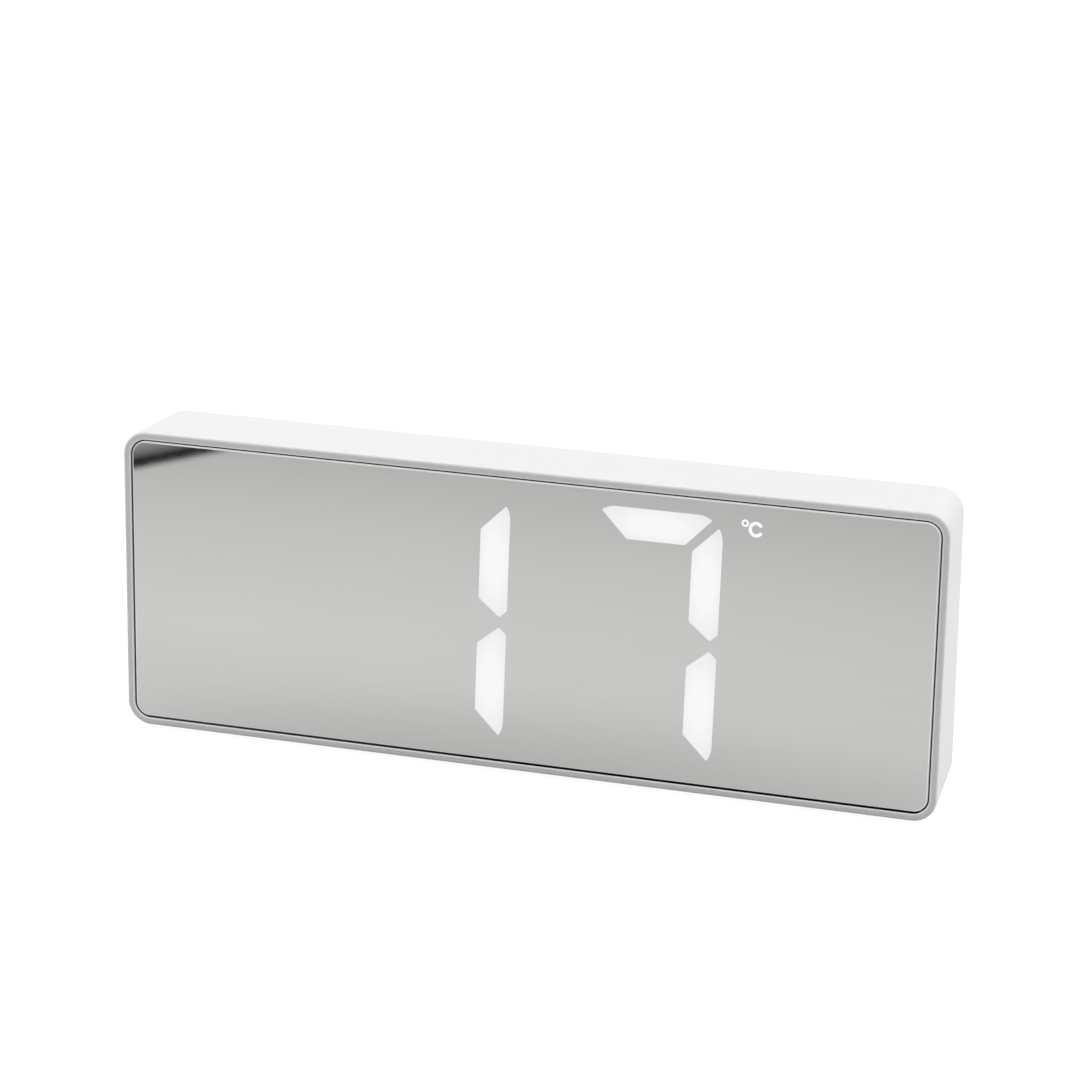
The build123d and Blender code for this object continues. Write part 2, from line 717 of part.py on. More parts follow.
# Rear cover: sloping plate with the battery bay, bosses, rails and openings
with BuildPart() as rear_cover:
    with BuildSketch(face_plane(0)):
        RectangleRounded(cover_width, cover_height, cavity_radius)
    extrude(amount=-foot_depth - cut_overrun)
    split(bisect_by=rear_plane(cover_thickness), keep=Keep.BOTTOM)
    with BuildSketch(face_plane(bay_front)):
        with Locations((0, bay_level)):
            Rectangle(bay_length + 2 * bay_wall, bay_height + 2 * bay_wall)
    extrude(amount=bay_front - foot_depth)
    split(bisect_by=rear_plane(), keep=Keep.TOP)
    with BuildSketch(face_plane(bay_inside)):
        with Locations((0, bay_level)):
            Rectangle(bay_length, bay_height)
    extrude(amount=-foot_depth, mode=Mode.SUBTRACT)
    with BuildSketch(rear_plane()):
        with Locations((0, door_middle)):
            RectangleRounded(opening_width, opening_height, opening_corner_radius)
    extrude(amount=door_recess + door_thickness + door_seat_gap, mode=Mode.SUBTRACT)
    with BuildSketch(rear_plane()):
        with Locations((0, door_middle + opening_height / 2)):
            RectangleRounded(notch_width, 2 * notch_height, notch_corner)
    extrude(amount=notch_depth, mode=Mode.SUBTRACT)
    with BuildSketch(door_axis_plane):
        Circle(door_pin_diameter / 2 + door_pin_clearance)
    extrude(amount=door_pin_reach + door_pin_end_gap, both=True, mode=Mode.SUBTRACT)
    for level in (cover_post_z, -cover_post_z):
        with BuildSketch(face_plane(post_end(level))):
            with Locations((cover_post_x, level), (-cover_post_x, level)):
                Circle(cover_boss_diameter / 2)
        extrude(amount=-cover_boss_height - cover_thickness / 2)
        with BuildSketch(face_plane(post_end(level))):
            with Locations((cover_post_x, level), (-cover_post_x, level)):
                Circle(cover_hole_diameter / 2)
        extrude(amount=-foot_depth, mode=Mode.SUBTRACT)
        with BuildSketch(face_plane(post_end(level) + cover_screw_floor)):
            with Locations((cover_post_x, level), (-cover_post_x, level)):
                Circle(cover_screw_head_diameter / 2 + cover_screw_head_clearance)
        extrude(amount=-foot_depth, mode=Mode.SUBTRACT)
    with BuildSketch(face_plane(inlet_board_front)):
        with Locations((inlet_x, inlet_board_level)):
            with GridLocations(rail_spacing, 0, 2, 1):
                Rectangle(rail_width, rail_height)
    extrude(amount=inlet_board_front - rail_end)
    with BuildSketch(face_plane(inlet_board_front)):
        with Locations((inlet_x, inlet_board_level)):
            Rectangle(inlet_board_width + 2 * rail_clearance, inlet_board_thickness + 2 * rail_clearance)
    extrude(amount=-inlet_board_length - inlet_board_end_gap, mode=Mode.SUBTRACT)
    with BuildSketch(face_plane(foot_depth)):
        with Locations((inlet_x, inlet_level)):
            inlet_opening_width = inlet_width + 2 * inlet_opening_gap
            inlet_opening_height = inlet_height + 2 * inlet_opening_gap
            RectangleRounded(inlet_opening_width, inlet_opening_height, inlet_corner + inlet_opening_gap)
        with Locations(*[(x, button_level) for x in button_places]):
            Circle(button_diameter / 2 + button_hole_gap)
        with Locations(sounder_place):
            Circle(grille_hole_diameter / 2)
            with PolarLocations(grille_ring_radius, grille_ring_count):
                Circle(grille_hole_diameter / 2)
        with Locations(sensor_place):
            with GridLocations(0, vent_pitch, 1, vent_count):
                SlotOverall(vent_length, vent_width)
    extrude(amount=foot_depth - board_back, mode=Mode.SUBTRACT)
    for side, level in ((-1, cell_levels[-1]), (1, cell_levels[0])):
        with BuildSketch(side_plane(side * bay_length / 2, cell_depth, level, side)):
            Rectangle(contact_thickness + 2 * lug_clearance, lug_width + 2 * lug_clearance)
        extrude(amount=bay_wall, mode=Mode.SUBTRACT)

# Battery door: flat lid with a rounded lower edge on two pins, a springy tongue and grip ribs
with BuildPart() as battery_door:
    with BuildSketch(rear_plane(door_recess)):
        with Locations((0, (door_top + door_axis) / 2)):
            Rectangle(door_width, door_top - door_axis)
    extrude(amount=door_thickness)
    top_edges = battery_door.faces().sort_by(Axis.Z)[-1].edges().sort_by(Axis.X)
    fillet([top_edges[0], top_edges[-1]], door_corner_radius)
    with BuildSketch(door_axis_plane):
        Circle(door_thickness / 2)
    extrude(amount=door_width / 2, both=True)
    with BuildSketch(door_axis_plane):
        Circle(door_pin_diameter / 2)
    extrude(amount=door_pin_reach, both=True)
    with BuildSketch(rear_plane(door_recess)):
        with Locations((0, door_top - door_slot_length / 2)):
            with GridLocations(door_tongue_width + door_slot_width, 0, 2, 1):
                Rectangle(door_slot_width, door_slot_length)
    extrude(amount=door_thickness, mode=Mode.SUBTRACT)
    with BuildSketch(rear_plane(door_recess)):
        with Locations((0, door_top - grip_from_edge - grip_rib_pitch)):
            with GridLocations(0, grip_rib_pitch, 1, grip_rib_count):
                SlotOverall(grip_rib_length, grip_rib_width)
    extrude(amount=-grip_rib_proud)

# Three cells, every second one turned round
with BuildPart() as battery_cells:
    for i, level in enumerate(cell_levels):
        facing = 1 if i % 2 == 0 else -1
        with BuildSketch(side_plane(-facing * cell_start, cell_depth, level, facing)):
            Circle(cell_diameter / 2)
        extrude(amount=cell_length - cell_nub_length)
    chamfer(battery_cells.edges().filter_by(GeomType.CIRCLE), cell_edge_chamfer)
    for i, level in enumerate(cell_levels):
        facing = 1 if i % 2 == 0 else -1
        nub_x = facing * (cell_length - cell_nub_length - cell_start)
        with BuildSketch(side_plane(nub_x, cell_depth, level, facing)):
            Circle(cell_nub_diameter / 2)
        extrude(amount=cell_nub_length)

# Contact plates at the ends of the bay: two end plates with lugs and two that join neighbours
with BuildPart() as contact_plates:
    for side, levels in ((-1, cell_levels[:2]), (1, cell_levels[1:]), (-1, cell_levels[2:]), (1, cell_levels[:1])):
        plate_level = sum(levels) / len(levels)
        with BuildSketch(side_plane(side * bay_length / 2, cell_depth, plate_level, -side)):
            Rectangle(contact_depth, levels[-1] - levels[0] + contact_width)
        extrude(amount=contact_thickness)
    for i, level in enumerate(cell_levels):
        facing = 1 if i % 2 == 0 else -1
        with BuildSketch(side_plane(facing * (bay_length / 2 - contact_thickness), cell_depth, level, -facing)):
            Circle(contact_dimple_diameter / 2)
        extrude(amount=contact_dimple)
    for side, level in ((-1, cell_levels[-1]), (1, cell_levels[0])):
        with BuildSketch(side_plane(side * bay_length / 2, cell_depth, level, side)):
            Rectangle(contact_thickness, lug_width)
        extrude(amount=bay_wall + lug_reach)

# Bowed leaf springs on the plates, against the flat ends of the cells
with BuildPart() as contact_springs:
    for i, level in enumerate(cell_levels):
        facing = 1 if i % 2 == 0 else -1
        seat = (-facing * (cell_start + spring_height), front + cell_depth, middle + level)
        with BuildSketch(Plane(origin=seat, x_dir=(0, 1, 0), z_dir=(0, 0, -facing))):
            with BuildLine() as bow:
                ThreePointArc((-spring_foot, 0), (0, spring_rise), (spring_foot, 0))
                Line((spring_foot, 0), (spring_foot - spring_thickness, 0))
                ThreePointArc(
                    (spring_foot - spring_thickness, 0),
                    (0, spring_rise - spring_thickness),
                    (spring_thickness - spring_foot, 0),
                )
                Line((spring_thickness - spring_foot, 0), (-spring_foot, 0))
            make_face(bow.edges())
        extrude(amount=spring_width / 2, both=True)

# Leads from the lugs of the end plates to the display board
with BuildPart() as battery_leads:
    with BuildSketch(face_plane(board_back)):
        with Locations(*lead_places):
            Circle(wire_diameter / 2)
    extrude(amount=board_back + contact_thickness / 2 - cell_depth)

# Small board of the power inlet
with BuildPart() as inlet_board:
    with BuildSketch(face_plane(inlet_board_front)):
        with Locations((inlet_x, inlet_board_level)):
            Rectangle(inlet_board_width, inlet_board_thickness)
    extrude(amount=-inlet_board_length)

# Metal socket of the power inlet
with BuildPart() as inlet_socket:
    with BuildSketch(face_plane(inlet_mouth)):
        with Locations((inlet_x, inlet_level)):
            RectangleRounded(inlet_width, inlet_height, inlet_corner)
    extrude(amount=inlet_length)
    with BuildSketch(face_plane(inlet_mouth)):
        with Locations((inlet_x, inlet_level)):
            hollow_width = inlet_width - 2 * inlet_wall
            hollow_height = inlet_height - 2 * inlet_wall
            RectangleRounded(hollow_width, hollow_height, inlet_corner - inlet_wall)
    extrude(amount=inlet_length - inlet_back_wall, mode=Mode.SUBTRACT)

# Contact tongue inside the socket
with BuildPart() as inlet_tongue:
    with BuildSketch(face_plane(inlet_mouth - inlet_length + inlet_back_wall)):
        with Locations((inlet_x, inlet_level)):
            Rectangle(tongue_width, tongue_height)
    extrude(amount=-tongue_length)

# Leads from the inlet's board to the display board
with BuildPart() as inlet_leads:
    with BuildSketch(face_plane(board_back)):
        with Locations((inlet_x, inlet_board_level)):
            with GridLocations(inlet_wire_spread, 0, 2, 1):
                Circle(wire_diameter / 2)
    extrude(amount=board_back - inlet_board_front)

# Screws that hold the cover
with BuildPart() as cover_screws:
    for level in (cover_post_z, -cover_post_z):
        seat = post_end(level) + cover_screw_floor
        places = [(cover_post_x, level), (-cover_post_x, level)]
        with BuildSketch(face_plane(seat)):
            with Locations(*places):
                Circle(cover_screw_head_diameter / 2)
        extrude(amount=-cover_screw_head_height)
        with BuildSketch(face_plane(seat)):
            with Locations(*places):
                Circle(cover_screw_shank_diameter / 2)
        extrude(amount=cover_screw_length)
        with BuildSketch(face_plane(seat + cover_screw_head_height)):
            with Locations(*places):
                Rectangle(cover_screw_slot_length, driver_slot_width)
                Rectangle(driver_slot_width, cover_screw_slot_length)
        extrude(amount=driver_slot_depth, mode=Mode.SUBTRACT)

# Screws that hold the display board
with BuildPart() as board_screws:
    with BuildSketch(face_plane(board_back)):
        with Locations(*board_post_places):
            Circle(board_screw_head_diameter / 2)
    extrude(amount=-board_screw_head_height)
    with BuildSketch(face_plane(board_back)):
        with Locations(*board_post_places):
            Circle(board_screw_shank_diameter / 2)
    extrude(amount=board_back - ledge_front - board_pilot_floor - board_screw_end_gap)

# Rubber pads under the body
with BuildPart() as foot_pads:
    with BuildSketch(Plane.XY):
        with Locations(*pad_places):
            Circle(pad_diameter / 2)
    extrude(amount=pad_thickness)
    chamfer(foot_pads.edges().group_by(Axis.Z)[0], pad_edge_chamfer)

# Every finished piece under its own name
pieces = {
    "front_shell": front_shell,
    "mirror_panel": mirror_panel,
    "panel_tape": panel_tape,
    "diffuser_film": diffuser_film,
    "reflector_block": reflector_block,
    "led_board": led_board,
    "segment_leds": segment_leds,
    "control_chip": control_chip,
    "driver_chips": driver_chips,
    "watch_crystal": watch_crystal,
    "capacitors": capacitors,
    "temperature_sensor": temperature_sensor,
    "sounder": sounder,
    "push_switches": push_switches,
    "rear_cover": rear_cover,
    "battery_door": battery_door,
    "battery_cells": battery_cells,
    "contact_plates": contact_plates,
    "contact_springs": contact_springs,
    "battery_leads": battery_leads,
    "inlet_board": inlet_board,
    "inlet_socket": inlet_socket,
    "inlet_tongue": inlet_tongue,
    "inlet_leads": inlet_leads,
    "cover_screws": cover_screws,
    "board_screws": board_screws,
    "foot_pads": foot_pads,
}
for name, piece in pieces.items():
    piece.part.label = name
    export_step(piece.part, f"parts/{name}.step")
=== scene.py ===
# %% [markdown]
# # A mirror-faced LED desk clock
# The clock is a white moulded case with a half-silvered panel in front. Behind the panel, lamps light
# single segments of four digits, and their light passes through the silvering as bright white shapes.
# The solids come ready-made from the CAD model. This lesson dresses them: it sets up the camera and the
# light, gives each piece its finish, and models the lit segments and the small signs.

# %% Load the solids
import math

import bpy
from mathutils import Matrix, Vector


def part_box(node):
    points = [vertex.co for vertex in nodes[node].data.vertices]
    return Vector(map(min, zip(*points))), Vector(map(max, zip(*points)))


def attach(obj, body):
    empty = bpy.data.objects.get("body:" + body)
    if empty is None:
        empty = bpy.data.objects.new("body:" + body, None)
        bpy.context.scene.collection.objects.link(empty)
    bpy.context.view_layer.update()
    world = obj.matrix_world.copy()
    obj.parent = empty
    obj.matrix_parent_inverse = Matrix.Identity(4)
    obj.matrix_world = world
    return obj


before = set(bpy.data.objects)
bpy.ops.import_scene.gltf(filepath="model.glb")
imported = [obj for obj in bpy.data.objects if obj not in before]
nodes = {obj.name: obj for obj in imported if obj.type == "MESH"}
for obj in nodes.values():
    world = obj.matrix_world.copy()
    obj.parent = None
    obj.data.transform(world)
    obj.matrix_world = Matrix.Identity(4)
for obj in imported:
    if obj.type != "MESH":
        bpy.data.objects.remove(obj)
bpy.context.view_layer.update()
bpy.ops.object.select_all(action="DESELECT")

# %% [markdown]
# The plain sizes of the face are read from the solids, so the later pieces land where the CAD puts them.
# The panel's front is a plane of constant Y. Everything that glows lies a hair in front of that plane.

# %% Places on the face
MM = 0.001
panel_low, panel_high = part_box("mirror_panel")
shell_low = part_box("front_shell")[0]
face_y = panel_low.y
middle = Vector(((panel_low.x + panel_high.x) / 2, face_y, (panel_low.z + panel_high.z) / 2))
print("panel front at y =", round(face_y, 5), "middle", [round(v, 5) for v in middle])

# %% [markdown]
# ## Camera
# The photograph looks at the clock from the right and from above, with a long lens. A camera matrix could be
# typed in as sixteen numbers, but two angles, a distance and a small roll say what the photographer did.

# %% Camera at the photograph's angle
azimuth, elevation, roll = math.radians(16.752), math.radians(17.533), math.radians(1.005)
aim_right, aim_up = 3.427 * MM, 17.055 * MM
distance, lens_mm, film_mm = 0.67678, 119.586, 36
target = Vector((aim_right, shell_low.y, middle.z + aim_up))
outward = math.cos(elevation)
back = Vector((math.sin(azimuth) * outward, -math.cos(azimuth) * outward, math.sin(elevation)))
level_right = (-back).cross(Vector((0, 0, 1))).normalized()
level_up = level_right.cross(-back)
right = level_right * math.cos(roll) + level_up * math.sin(roll)
up = level_up * math.cos(roll) - level_right * math.sin(roll)
bpy.ops.object.camera_add()
camera = bpy.context.object
camera.name = "photo_camera"
camera_axes = Matrix((right, up, back)).transposed().to_4x4()
camera.matrix_world = Matrix.Translation(target + back * distance) @ camera_axes
camera.data.sensor_width = film_mm
camera.data.lens = lens_mm
camera.data.clip_start, camera.data.clip_end = 0.01, 100
bpy.context.scene.camera = camera
print("camera at", [round(v, 4) for v in camera.location], "lens", camera.data.lens)

# %% [markdown]
# ## Light
# The photograph is a cut-out on white: the top of the case is the brightest side, the right side a little
# darker and the front the darkest. A large lamp above and one on the right, both a little behind the clock,
# give that order. The upper lamp leans to the left, because the rounded corner between the top and the right
# side would be brighter than both if it faced both lamps. The sky adds an even light, and the camera and
# polished pieces see it as white.

# %% View settings and world
scene = bpy.context.scene
scene.view_settings.view_transform = "Standard"
world = bpy.data.worlds.new("studio")
scene.world = world
world.use_nodes = True
sky = world.node_tree
sky.nodes.clear()
sky_out = sky.nodes.new("ShaderNodeOutputWorld")
sky_mix = sky.nodes.new("ShaderNodeMixShader")
sky_light = sky.nodes.new("ShaderNodeBackground")
sky_white = sky.nodes.new("ShaderNodeBackground")
sky_path = sky.nodes.new("ShaderNodeLightPath")
sky_seen = sky.nodes.new("ShaderNodeMath")
sky_seen.operation = "MAXIMUM"
sky_strength, seen_strength = 0.42, 1.0
for background, strength in ((sky_light, sky_strength), (sky_white, seen_strength)):
    background.inputs["Color"].default_value = (1, 1, 1, 1)
    background.inputs["Strength"].default_value = strength
sky.links.new(sky_path.outputs["Is Camera Ray"], sky_seen.inputs[0])
sky.links.new(sky_path.outputs["Is Glossy Ray"], sky_seen.inputs[1])
sky.links.new(sky_seen.outputs[0], sky_mix.inputs["Fac"])
sky.links.new(sky_light.outputs[0], sky_mix.inputs[1])
sky.links.new(sky_white.outputs[0], sky_mix.inputs[2])
sky.links.new(sky_mix.outputs[0], sky_out.inputs["Surface"])
print("world:", [n.bl_idname for n in sky.nodes])

# %% Softboxes
def softbox(name, place, aim, width, height, watts):
    bpy.ops.object.light_add(type="AREA", location=place)
    lamp = bpy.context.object
    lamp.name = name
    lamp.data.shape = "RECTANGLE"
    lamp.data.size, lamp.data.size_y = width, height
    lamp.data.energy = watts
    lamp.rotation_euler = (Vector(aim) - Vector(place)).to_track_quat("-Z", "Y").to_euler()
    lamp.visible_glossy = False
    return lamp


clock_middle = (0, 0, 0.03)
above, beside = (-0.85, 0.20, 1.58), (0.85, 0.22, 0.22)
overhead = softbox("overhead_softbox", above, clock_middle, width=1.7, height=1.4, watts=18.9)
side = softbox("right_softbox", beside, clock_middle, width=0.7, height=0.7, watts=4.3)
print("lamps:", overhead.name, side.name)

# %% [markdown]
# ## Floor
# The clock stands on white paper. To the camera the paper is nearly a flat white, with a small share of
# real shading that keeps the clock's shadow. In the mirror the paper shows a painted fall-off of light:
# brightest a hand's breadth in front of the clock, dimmer further out, and a painted shadow close to the
# case. One spherical gradient paints the fall-off, a second one under the clock paints the shadow, and a
# larger share of real shading gives the rest.

# %% White paper floor
floor_size, paper_grey, paper_glow = 6.0, (0.50, 0.50, 0.50, 1), 1.263
# Where the painted pool of light and the painted shadow lie, and their tones
bright_place, bright_reach = (-0.094, -0.075, 0), (0.63, 0.20, 1)
far_tone, near_tone, middle_tone = (0.35, 0.88), (0.62, 1.07), (1.0, 1.25)
shade_reach, shade_tone = (0.110, 0.058, 1), 0.74
bpy.ops.mesh.primitive_grid_add(x_subdivisions=2, y_subdivisions=2, size=floor_size, location=(0, 0, 0))
floor = bpy.context.object
floor.name = "paper_floor"
paper = bpy.data.materials.new("white_paper")
paper.use_nodes = True
tree = paper.node_tree
tree.nodes.clear()
paper_out = tree.nodes.new("ShaderNodeOutputMaterial")
paper_shade = tree.nodes.new("ShaderNodeBsdfDiffuse")
paper_shade.inputs["Color"].default_value = paper_grey
paper_white = tree.nodes.new("ShaderNodeEmission")
paper_white.inputs["Strength"].default_value = paper_glow
paper_place = tree.nodes.new("ShaderNodeTexCoord")
painted_light_place = tree.nodes.new("ShaderNodeMapping")
painted_light_place.vector_type = "TEXTURE"
painted_light_place.inputs["Location"].default_value = bright_place
painted_light_place.inputs["Scale"].default_value = bright_reach
# A painted pool of light on the paper, seen only in the mirror
painted_light_ball = tree.nodes.new("ShaderNodeTexGradient")
painted_light_ball.gradient_type = "SPHERICAL"
painted_light_falloff = tree.nodes.new("ShaderNodeValToRGB")
for stop, (position, tone) in zip((0, 1), (far_tone, near_tone)):
    painted_light_falloff.color_ramp.elements[stop].position = position
    painted_light_falloff.color_ramp.elements[stop].color = (tone, tone, tone, 1)
position, tone = middle_tone
painted_light_falloff.color_ramp.elements.new(position).color = (tone, tone, tone, 1)
# A painted shadow under the clock, seen only in the mirror
painted_shadow_place = tree.nodes.new("ShaderNodeMapping")
painted_shadow_place.vector_type = "TEXTURE"
painted_shadow_place.inputs["Scale"].default_value = shade_reach
painted_shadow_ball = tree.nodes.new("ShaderNodeTexGradient")
painted_shadow_ball.gradient_type = "SPHERICAL"
paper_shaded = tree.nodes.new("ShaderNodeMapRange")
paper_shaded.inputs["To Min"].default_value = 1.0
paper_shaded.inputs["To Max"].default_value = shade_tone
paper_mirrored = tree.nodes.new("ShaderNodeEmission")
paper_path = tree.nodes.new("ShaderNodeLightPath")
print("floor:", floor.name, [round(v, 2) for v in floor.dimensions])

# %% Paper as the camera, the mirror and the lamps see it
def share_of(ray, part):
    share = tree.nodes.new("ShaderNodeMath")
    share.operation = "MULTIPLY"
    share.inputs[1].default_value = part
    tree.links.new(paper_path.outputs[ray], share.inputs[0])
    return share.outputs[0]


mirror_share, view_share = 0.70, 0.75
in_mirror = tree.nodes.new("ShaderNodeMixShader")
in_view = tree.nodes.new("ShaderNodeMixShader")
tree.links.new(paper_place.outputs["Object"], painted_light_place.inputs["Vector"])
tree.links.new(painted_light_place.outputs["Vector"], painted_light_ball.inputs["Vector"])
tree.links.new(painted_light_ball.outputs["Color"], painted_light_falloff.inputs["Fac"])
tree.links.new(painted_light_falloff.outputs["Color"], paper_mirrored.inputs["Color"])
tree.links.new(paper_place.outputs["Object"], painted_shadow_place.inputs["Vector"])
tree.links.new(painted_shadow_place.outputs["Vector"], painted_shadow_ball.inputs["Vector"])
tree.links.new(painted_shadow_ball.outputs["Fac"], paper_shaded.inputs["Value"])
tree.links.new(paper_shaded.outputs["Result"], paper_mirrored.inputs["Strength"])
tree.links.new(share_of("Is Glossy Ray", mirror_share), in_mirror.inputs["Fac"])
tree.links.new(paper_shade.outputs[0], in_mirror.inputs[1])
tree.links.new(paper_mirrored.outputs[0], in_mirror.inputs[2])
tree.links.new(share_of("Is Camera Ray", view_share), in_view.inputs["Fac"])
tree.links.new(in_mirror.outputs[0], in_view.inputs[1])
tree.links.new(paper_white.outputs[0], in_view.inputs[2])
tree.links.new(in_view.outputs[0], paper_out.inputs["Surface"])
floor.data.materials.append(paper)
print("paper nodes:", len(tree.nodes))

# %% [markdown]
# In the upper left corner of the mirror a dark slanting line shows, with grey beyond it: the shadow under
# the paper's edge, and the table beyond. Two cards on the floor, far to the left and in front, make that
# reflection: the dark one is a painted shadow, the grey one a table with painted shade. They lie outside
# the picture, and the camera doesn't see them. The dark one fades out towards the paper, and the table
# card's colour darkens towards the edge, a painted shade as under a raised sheet.

# %% Cards that the mirror sees
edge_middle, edge_turn = Vector((-147.5 * MM, -190.9 * MM)), math.radians(-57.1)
inward = Vector((-math.sin(edge_turn), math.cos(edge_turn)))


def floor_card(name, from_edge, length, width, height, tone):
    centre = edge_middle + inward * (from_edge + width / 2)
    place = (centre.x, centre.y, height)
    bpy.ops.object.select_all(action="DESELECT")
    bpy.ops.mesh.primitive_plane_add(size=1, location=place, rotation=(0, 0, edge_turn))
    card = bpy.context.object
    card.name = name
    card.scale = (length, width, 1)
    bpy.ops.object.transform_apply(location=False, rotation=False, scale=True)
    card.visible_camera = False
    card.visible_diffuse = False
    card.visible_shadow = False
    paint = bpy.data.materials.new(name + "_paint")
    paint.use_nodes = True
    shader = paint.node_tree.nodes["Principled BSDF"]
    shader.inputs["Base Color"].default_value = (tone, tone, tone, 1)
    shader.inputs["Roughness"].default_value = 0.9
    shader.inputs["Specular IOR Level"].default_value = 0
    card.data.materials.append(paint)
    return card, paint.node_tree, shader


def fade_across(tree, start, end, first, last):
    place = tree.nodes.new("ShaderNodeTexCoord")
    axes = tree.nodes.new("ShaderNodeSeparateXYZ")
    fade = tree.nodes.new("ShaderNodeMapRange")
    for socket, value in zip(("From Min", "From Max", "To Min", "To Max"), (start, end, first, last)):
        fade.inputs[socket].default_value = value
    tree.links.new(place.outputs["Object"], axes.inputs[0])
    tree.links.new(axes.outputs["Y"], fade.inputs["Value"])
    return fade.outputs["Result"]


# The table card darkens towards the edge: a painted shade
table_card, table_tree, table_paint = floor_card(
    "table_card", from_edge=-62 * MM, length=90 * MM, width=60 * MM, height=0.2 * MM, tone=0.5
)
table_painted_shade = fade_across(table_tree, start=20 * MM, end=31 * MM, first=0.46, last=0.02)
table_tree.links.new(table_painted_shade, table_paint.inputs["Base Color"])
# The shadow card is a painted shadow, a dark card where there is only shade
shadow_card, shadow_tree, shadow_paint = floor_card(
    "shadow_card", from_edge=-2 * MM, length=70 * MM, width=9 * MM, height=0.4 * MM, tone=0.01
)
shadow_fade = fade_across(shadow_tree, start=0.3 * MM, end=4.3 * MM, first=1, last=0)
shadow_tree.links.new(shadow_fade, shadow_paint.inputs["Alpha"])
print("cards:", table_card.name, shadow_card.name)

# %% [markdown]
# ## Building blocks of the finishes
# Each finish is a Principled shader fed by noises on Object coordinates, so a pattern keeps its real size
# and stays on its piece. A few helpers keep the materials short: a stretched noise, a colour ramp, a range
# for the gloss, a bump, and a mask for everything beyond a plane.

# %% Noise, ramp, range and bump
def start_finish(name):
    material = bpy.data.materials.new(name)
    material.use_nodes = True
    tree = material.node_tree
    place = tree.nodes.new("ShaderNodeTexCoord")
    return material, tree, tree.nodes["Principled BSDF"], place.outputs["Object"]


def noise(tree, where, scale, detail=2.0, stretch=(1, 1, 1)):
    turn = tree.nodes.new("ShaderNodeMapping")
    turn.inputs["Scale"].default_value = stretch
    cloud = tree.nodes.new("ShaderNodeTexNoise")
    cloud.inputs["Scale"].default_value = scale
    cloud.inputs["Detail"].default_value = detail
    tree.links.new(where, turn.inputs["Vector"])
    tree.links.new(turn.outputs["Vector"], cloud.inputs["Vector"])
    return cloud.outputs["Fac"]


def ramp(tree, source, dark, light, low=0.3, high=0.7):
    band = tree.nodes.new("ShaderNodeValToRGB")
    band.color_ramp.elements[0].position = low
    band.color_ramp.elements[1].position = high
    band.color_ramp.elements[0].color = (*dark, 1)
    band.color_ramp.elements[1].color = (*light, 1)
    tree.links.new(source, band.inputs["Fac"])
    return band.outputs["Color"]


def spread(tree, source, low, high, start=0.3, end=0.7):
    span = tree.nodes.new("ShaderNodeMapRange")
    span.inputs["From Min"].default_value = start
    span.inputs["From Max"].default_value = end
    span.inputs["To Min"].default_value = low
    span.inputs["To Max"].default_value = high
    tree.links.new(source, span.inputs["Value"])
    return span.outputs["Result"]


def raise_grain(tree, shader, source, depth_mm, strength=0.35):
    bump = tree.nodes.new("ShaderNodeBump")
    bump.inputs["Strength"].default_value = strength
    bump.inputs["Distance"].default_value = depth_mm * MM
    tree.links.new(source, bump.inputs["Height"])
    tree.links.new(bump.outputs["Normal"], shader.inputs["Normal"])


def darker(colour, drift):
    return [c * (1 - drift) for c in colour]


print("helpers: noise, ramp, spread, raise_grain")

# %% Masks
def coordinate(tree, where, axis):
    parts = tree.nodes.new("ShaderNodeSeparateXYZ")
    tree.links.new(where, parts.inputs[0])
    return parts.outputs[axis]


def sum_of(tree, operation, first, second):
    node = tree.nodes.new("ShaderNodeMath")
    node.operation = operation
    for socket, value in zip(node.inputs, (first, second)):
        if isinstance(value, (int, float)):
            socket.default_value = value
        else:
            tree.links.new(value, socket)
    return node.outputs[0]


def beyond(tree, where, axis, limit):
    return sum_of(tree, "GREATER_THAN", coordinate(tree, where, axis), limit)


def either(tree, mask, inside, outside):
    mix = tree.nodes.new("ShaderNodeMix")
    mix.data_type = "RGBA"
    tree.links.new(mask, mix.inputs["Factor"])
    for socket, colour in ((mix.inputs[7], inside), (mix.inputs[6], outside)):
        if isinstance(colour, (tuple, list)):
            socket.default_value = (*colour, 1)
        else:
            tree.links.new(colour, socket)
    return mix.outputs[2]


def dress(material, *names):
    for name in names:
        nodes[name].data.materials.clear()
        nodes[name].data.materials.append(material)


print("helpers: coordinate, sum_of, beyond, either, dress")

# %% [markdown]
# ## Moulded plastic
# A moulded case is never one flat colour. The tool's surface leaves a fine grain, the colour drifts a little
# over a large face, and the gloss is not the same everywhere. Three noises of different size give these:
# a coarse one for the colour, a middle one for the roughness and a fine one for the bump.

# %% Plastic finish
mottle_scale, gloss_play = 260.0, 0.04


def plastic(name, colour, drift, roughness, grain_mm, grain_depth_mm, cloud_scale=28.0):
    material, tree, shader, where = start_finish(name)
    shader.inputs["IOR"].default_value = 1.5
    cloud = noise(tree, where, cloud_scale, 3.0)
    mottle = noise(tree, where, mottle_scale, 4.0)
    grain = noise(tree, where, 1.0 / (grain_mm * MM))
    tree.links.new(ramp(tree, cloud, darker(colour, drift), colour), shader.inputs["Base Color"])
    gloss = spread(tree, mottle, roughness - gloss_play, roughness + gloss_play)
    tree.links.new(gloss, shader.inputs["Roughness"])
    raise_grain(tree, shader, grain, grain_depth_mm)
    return material


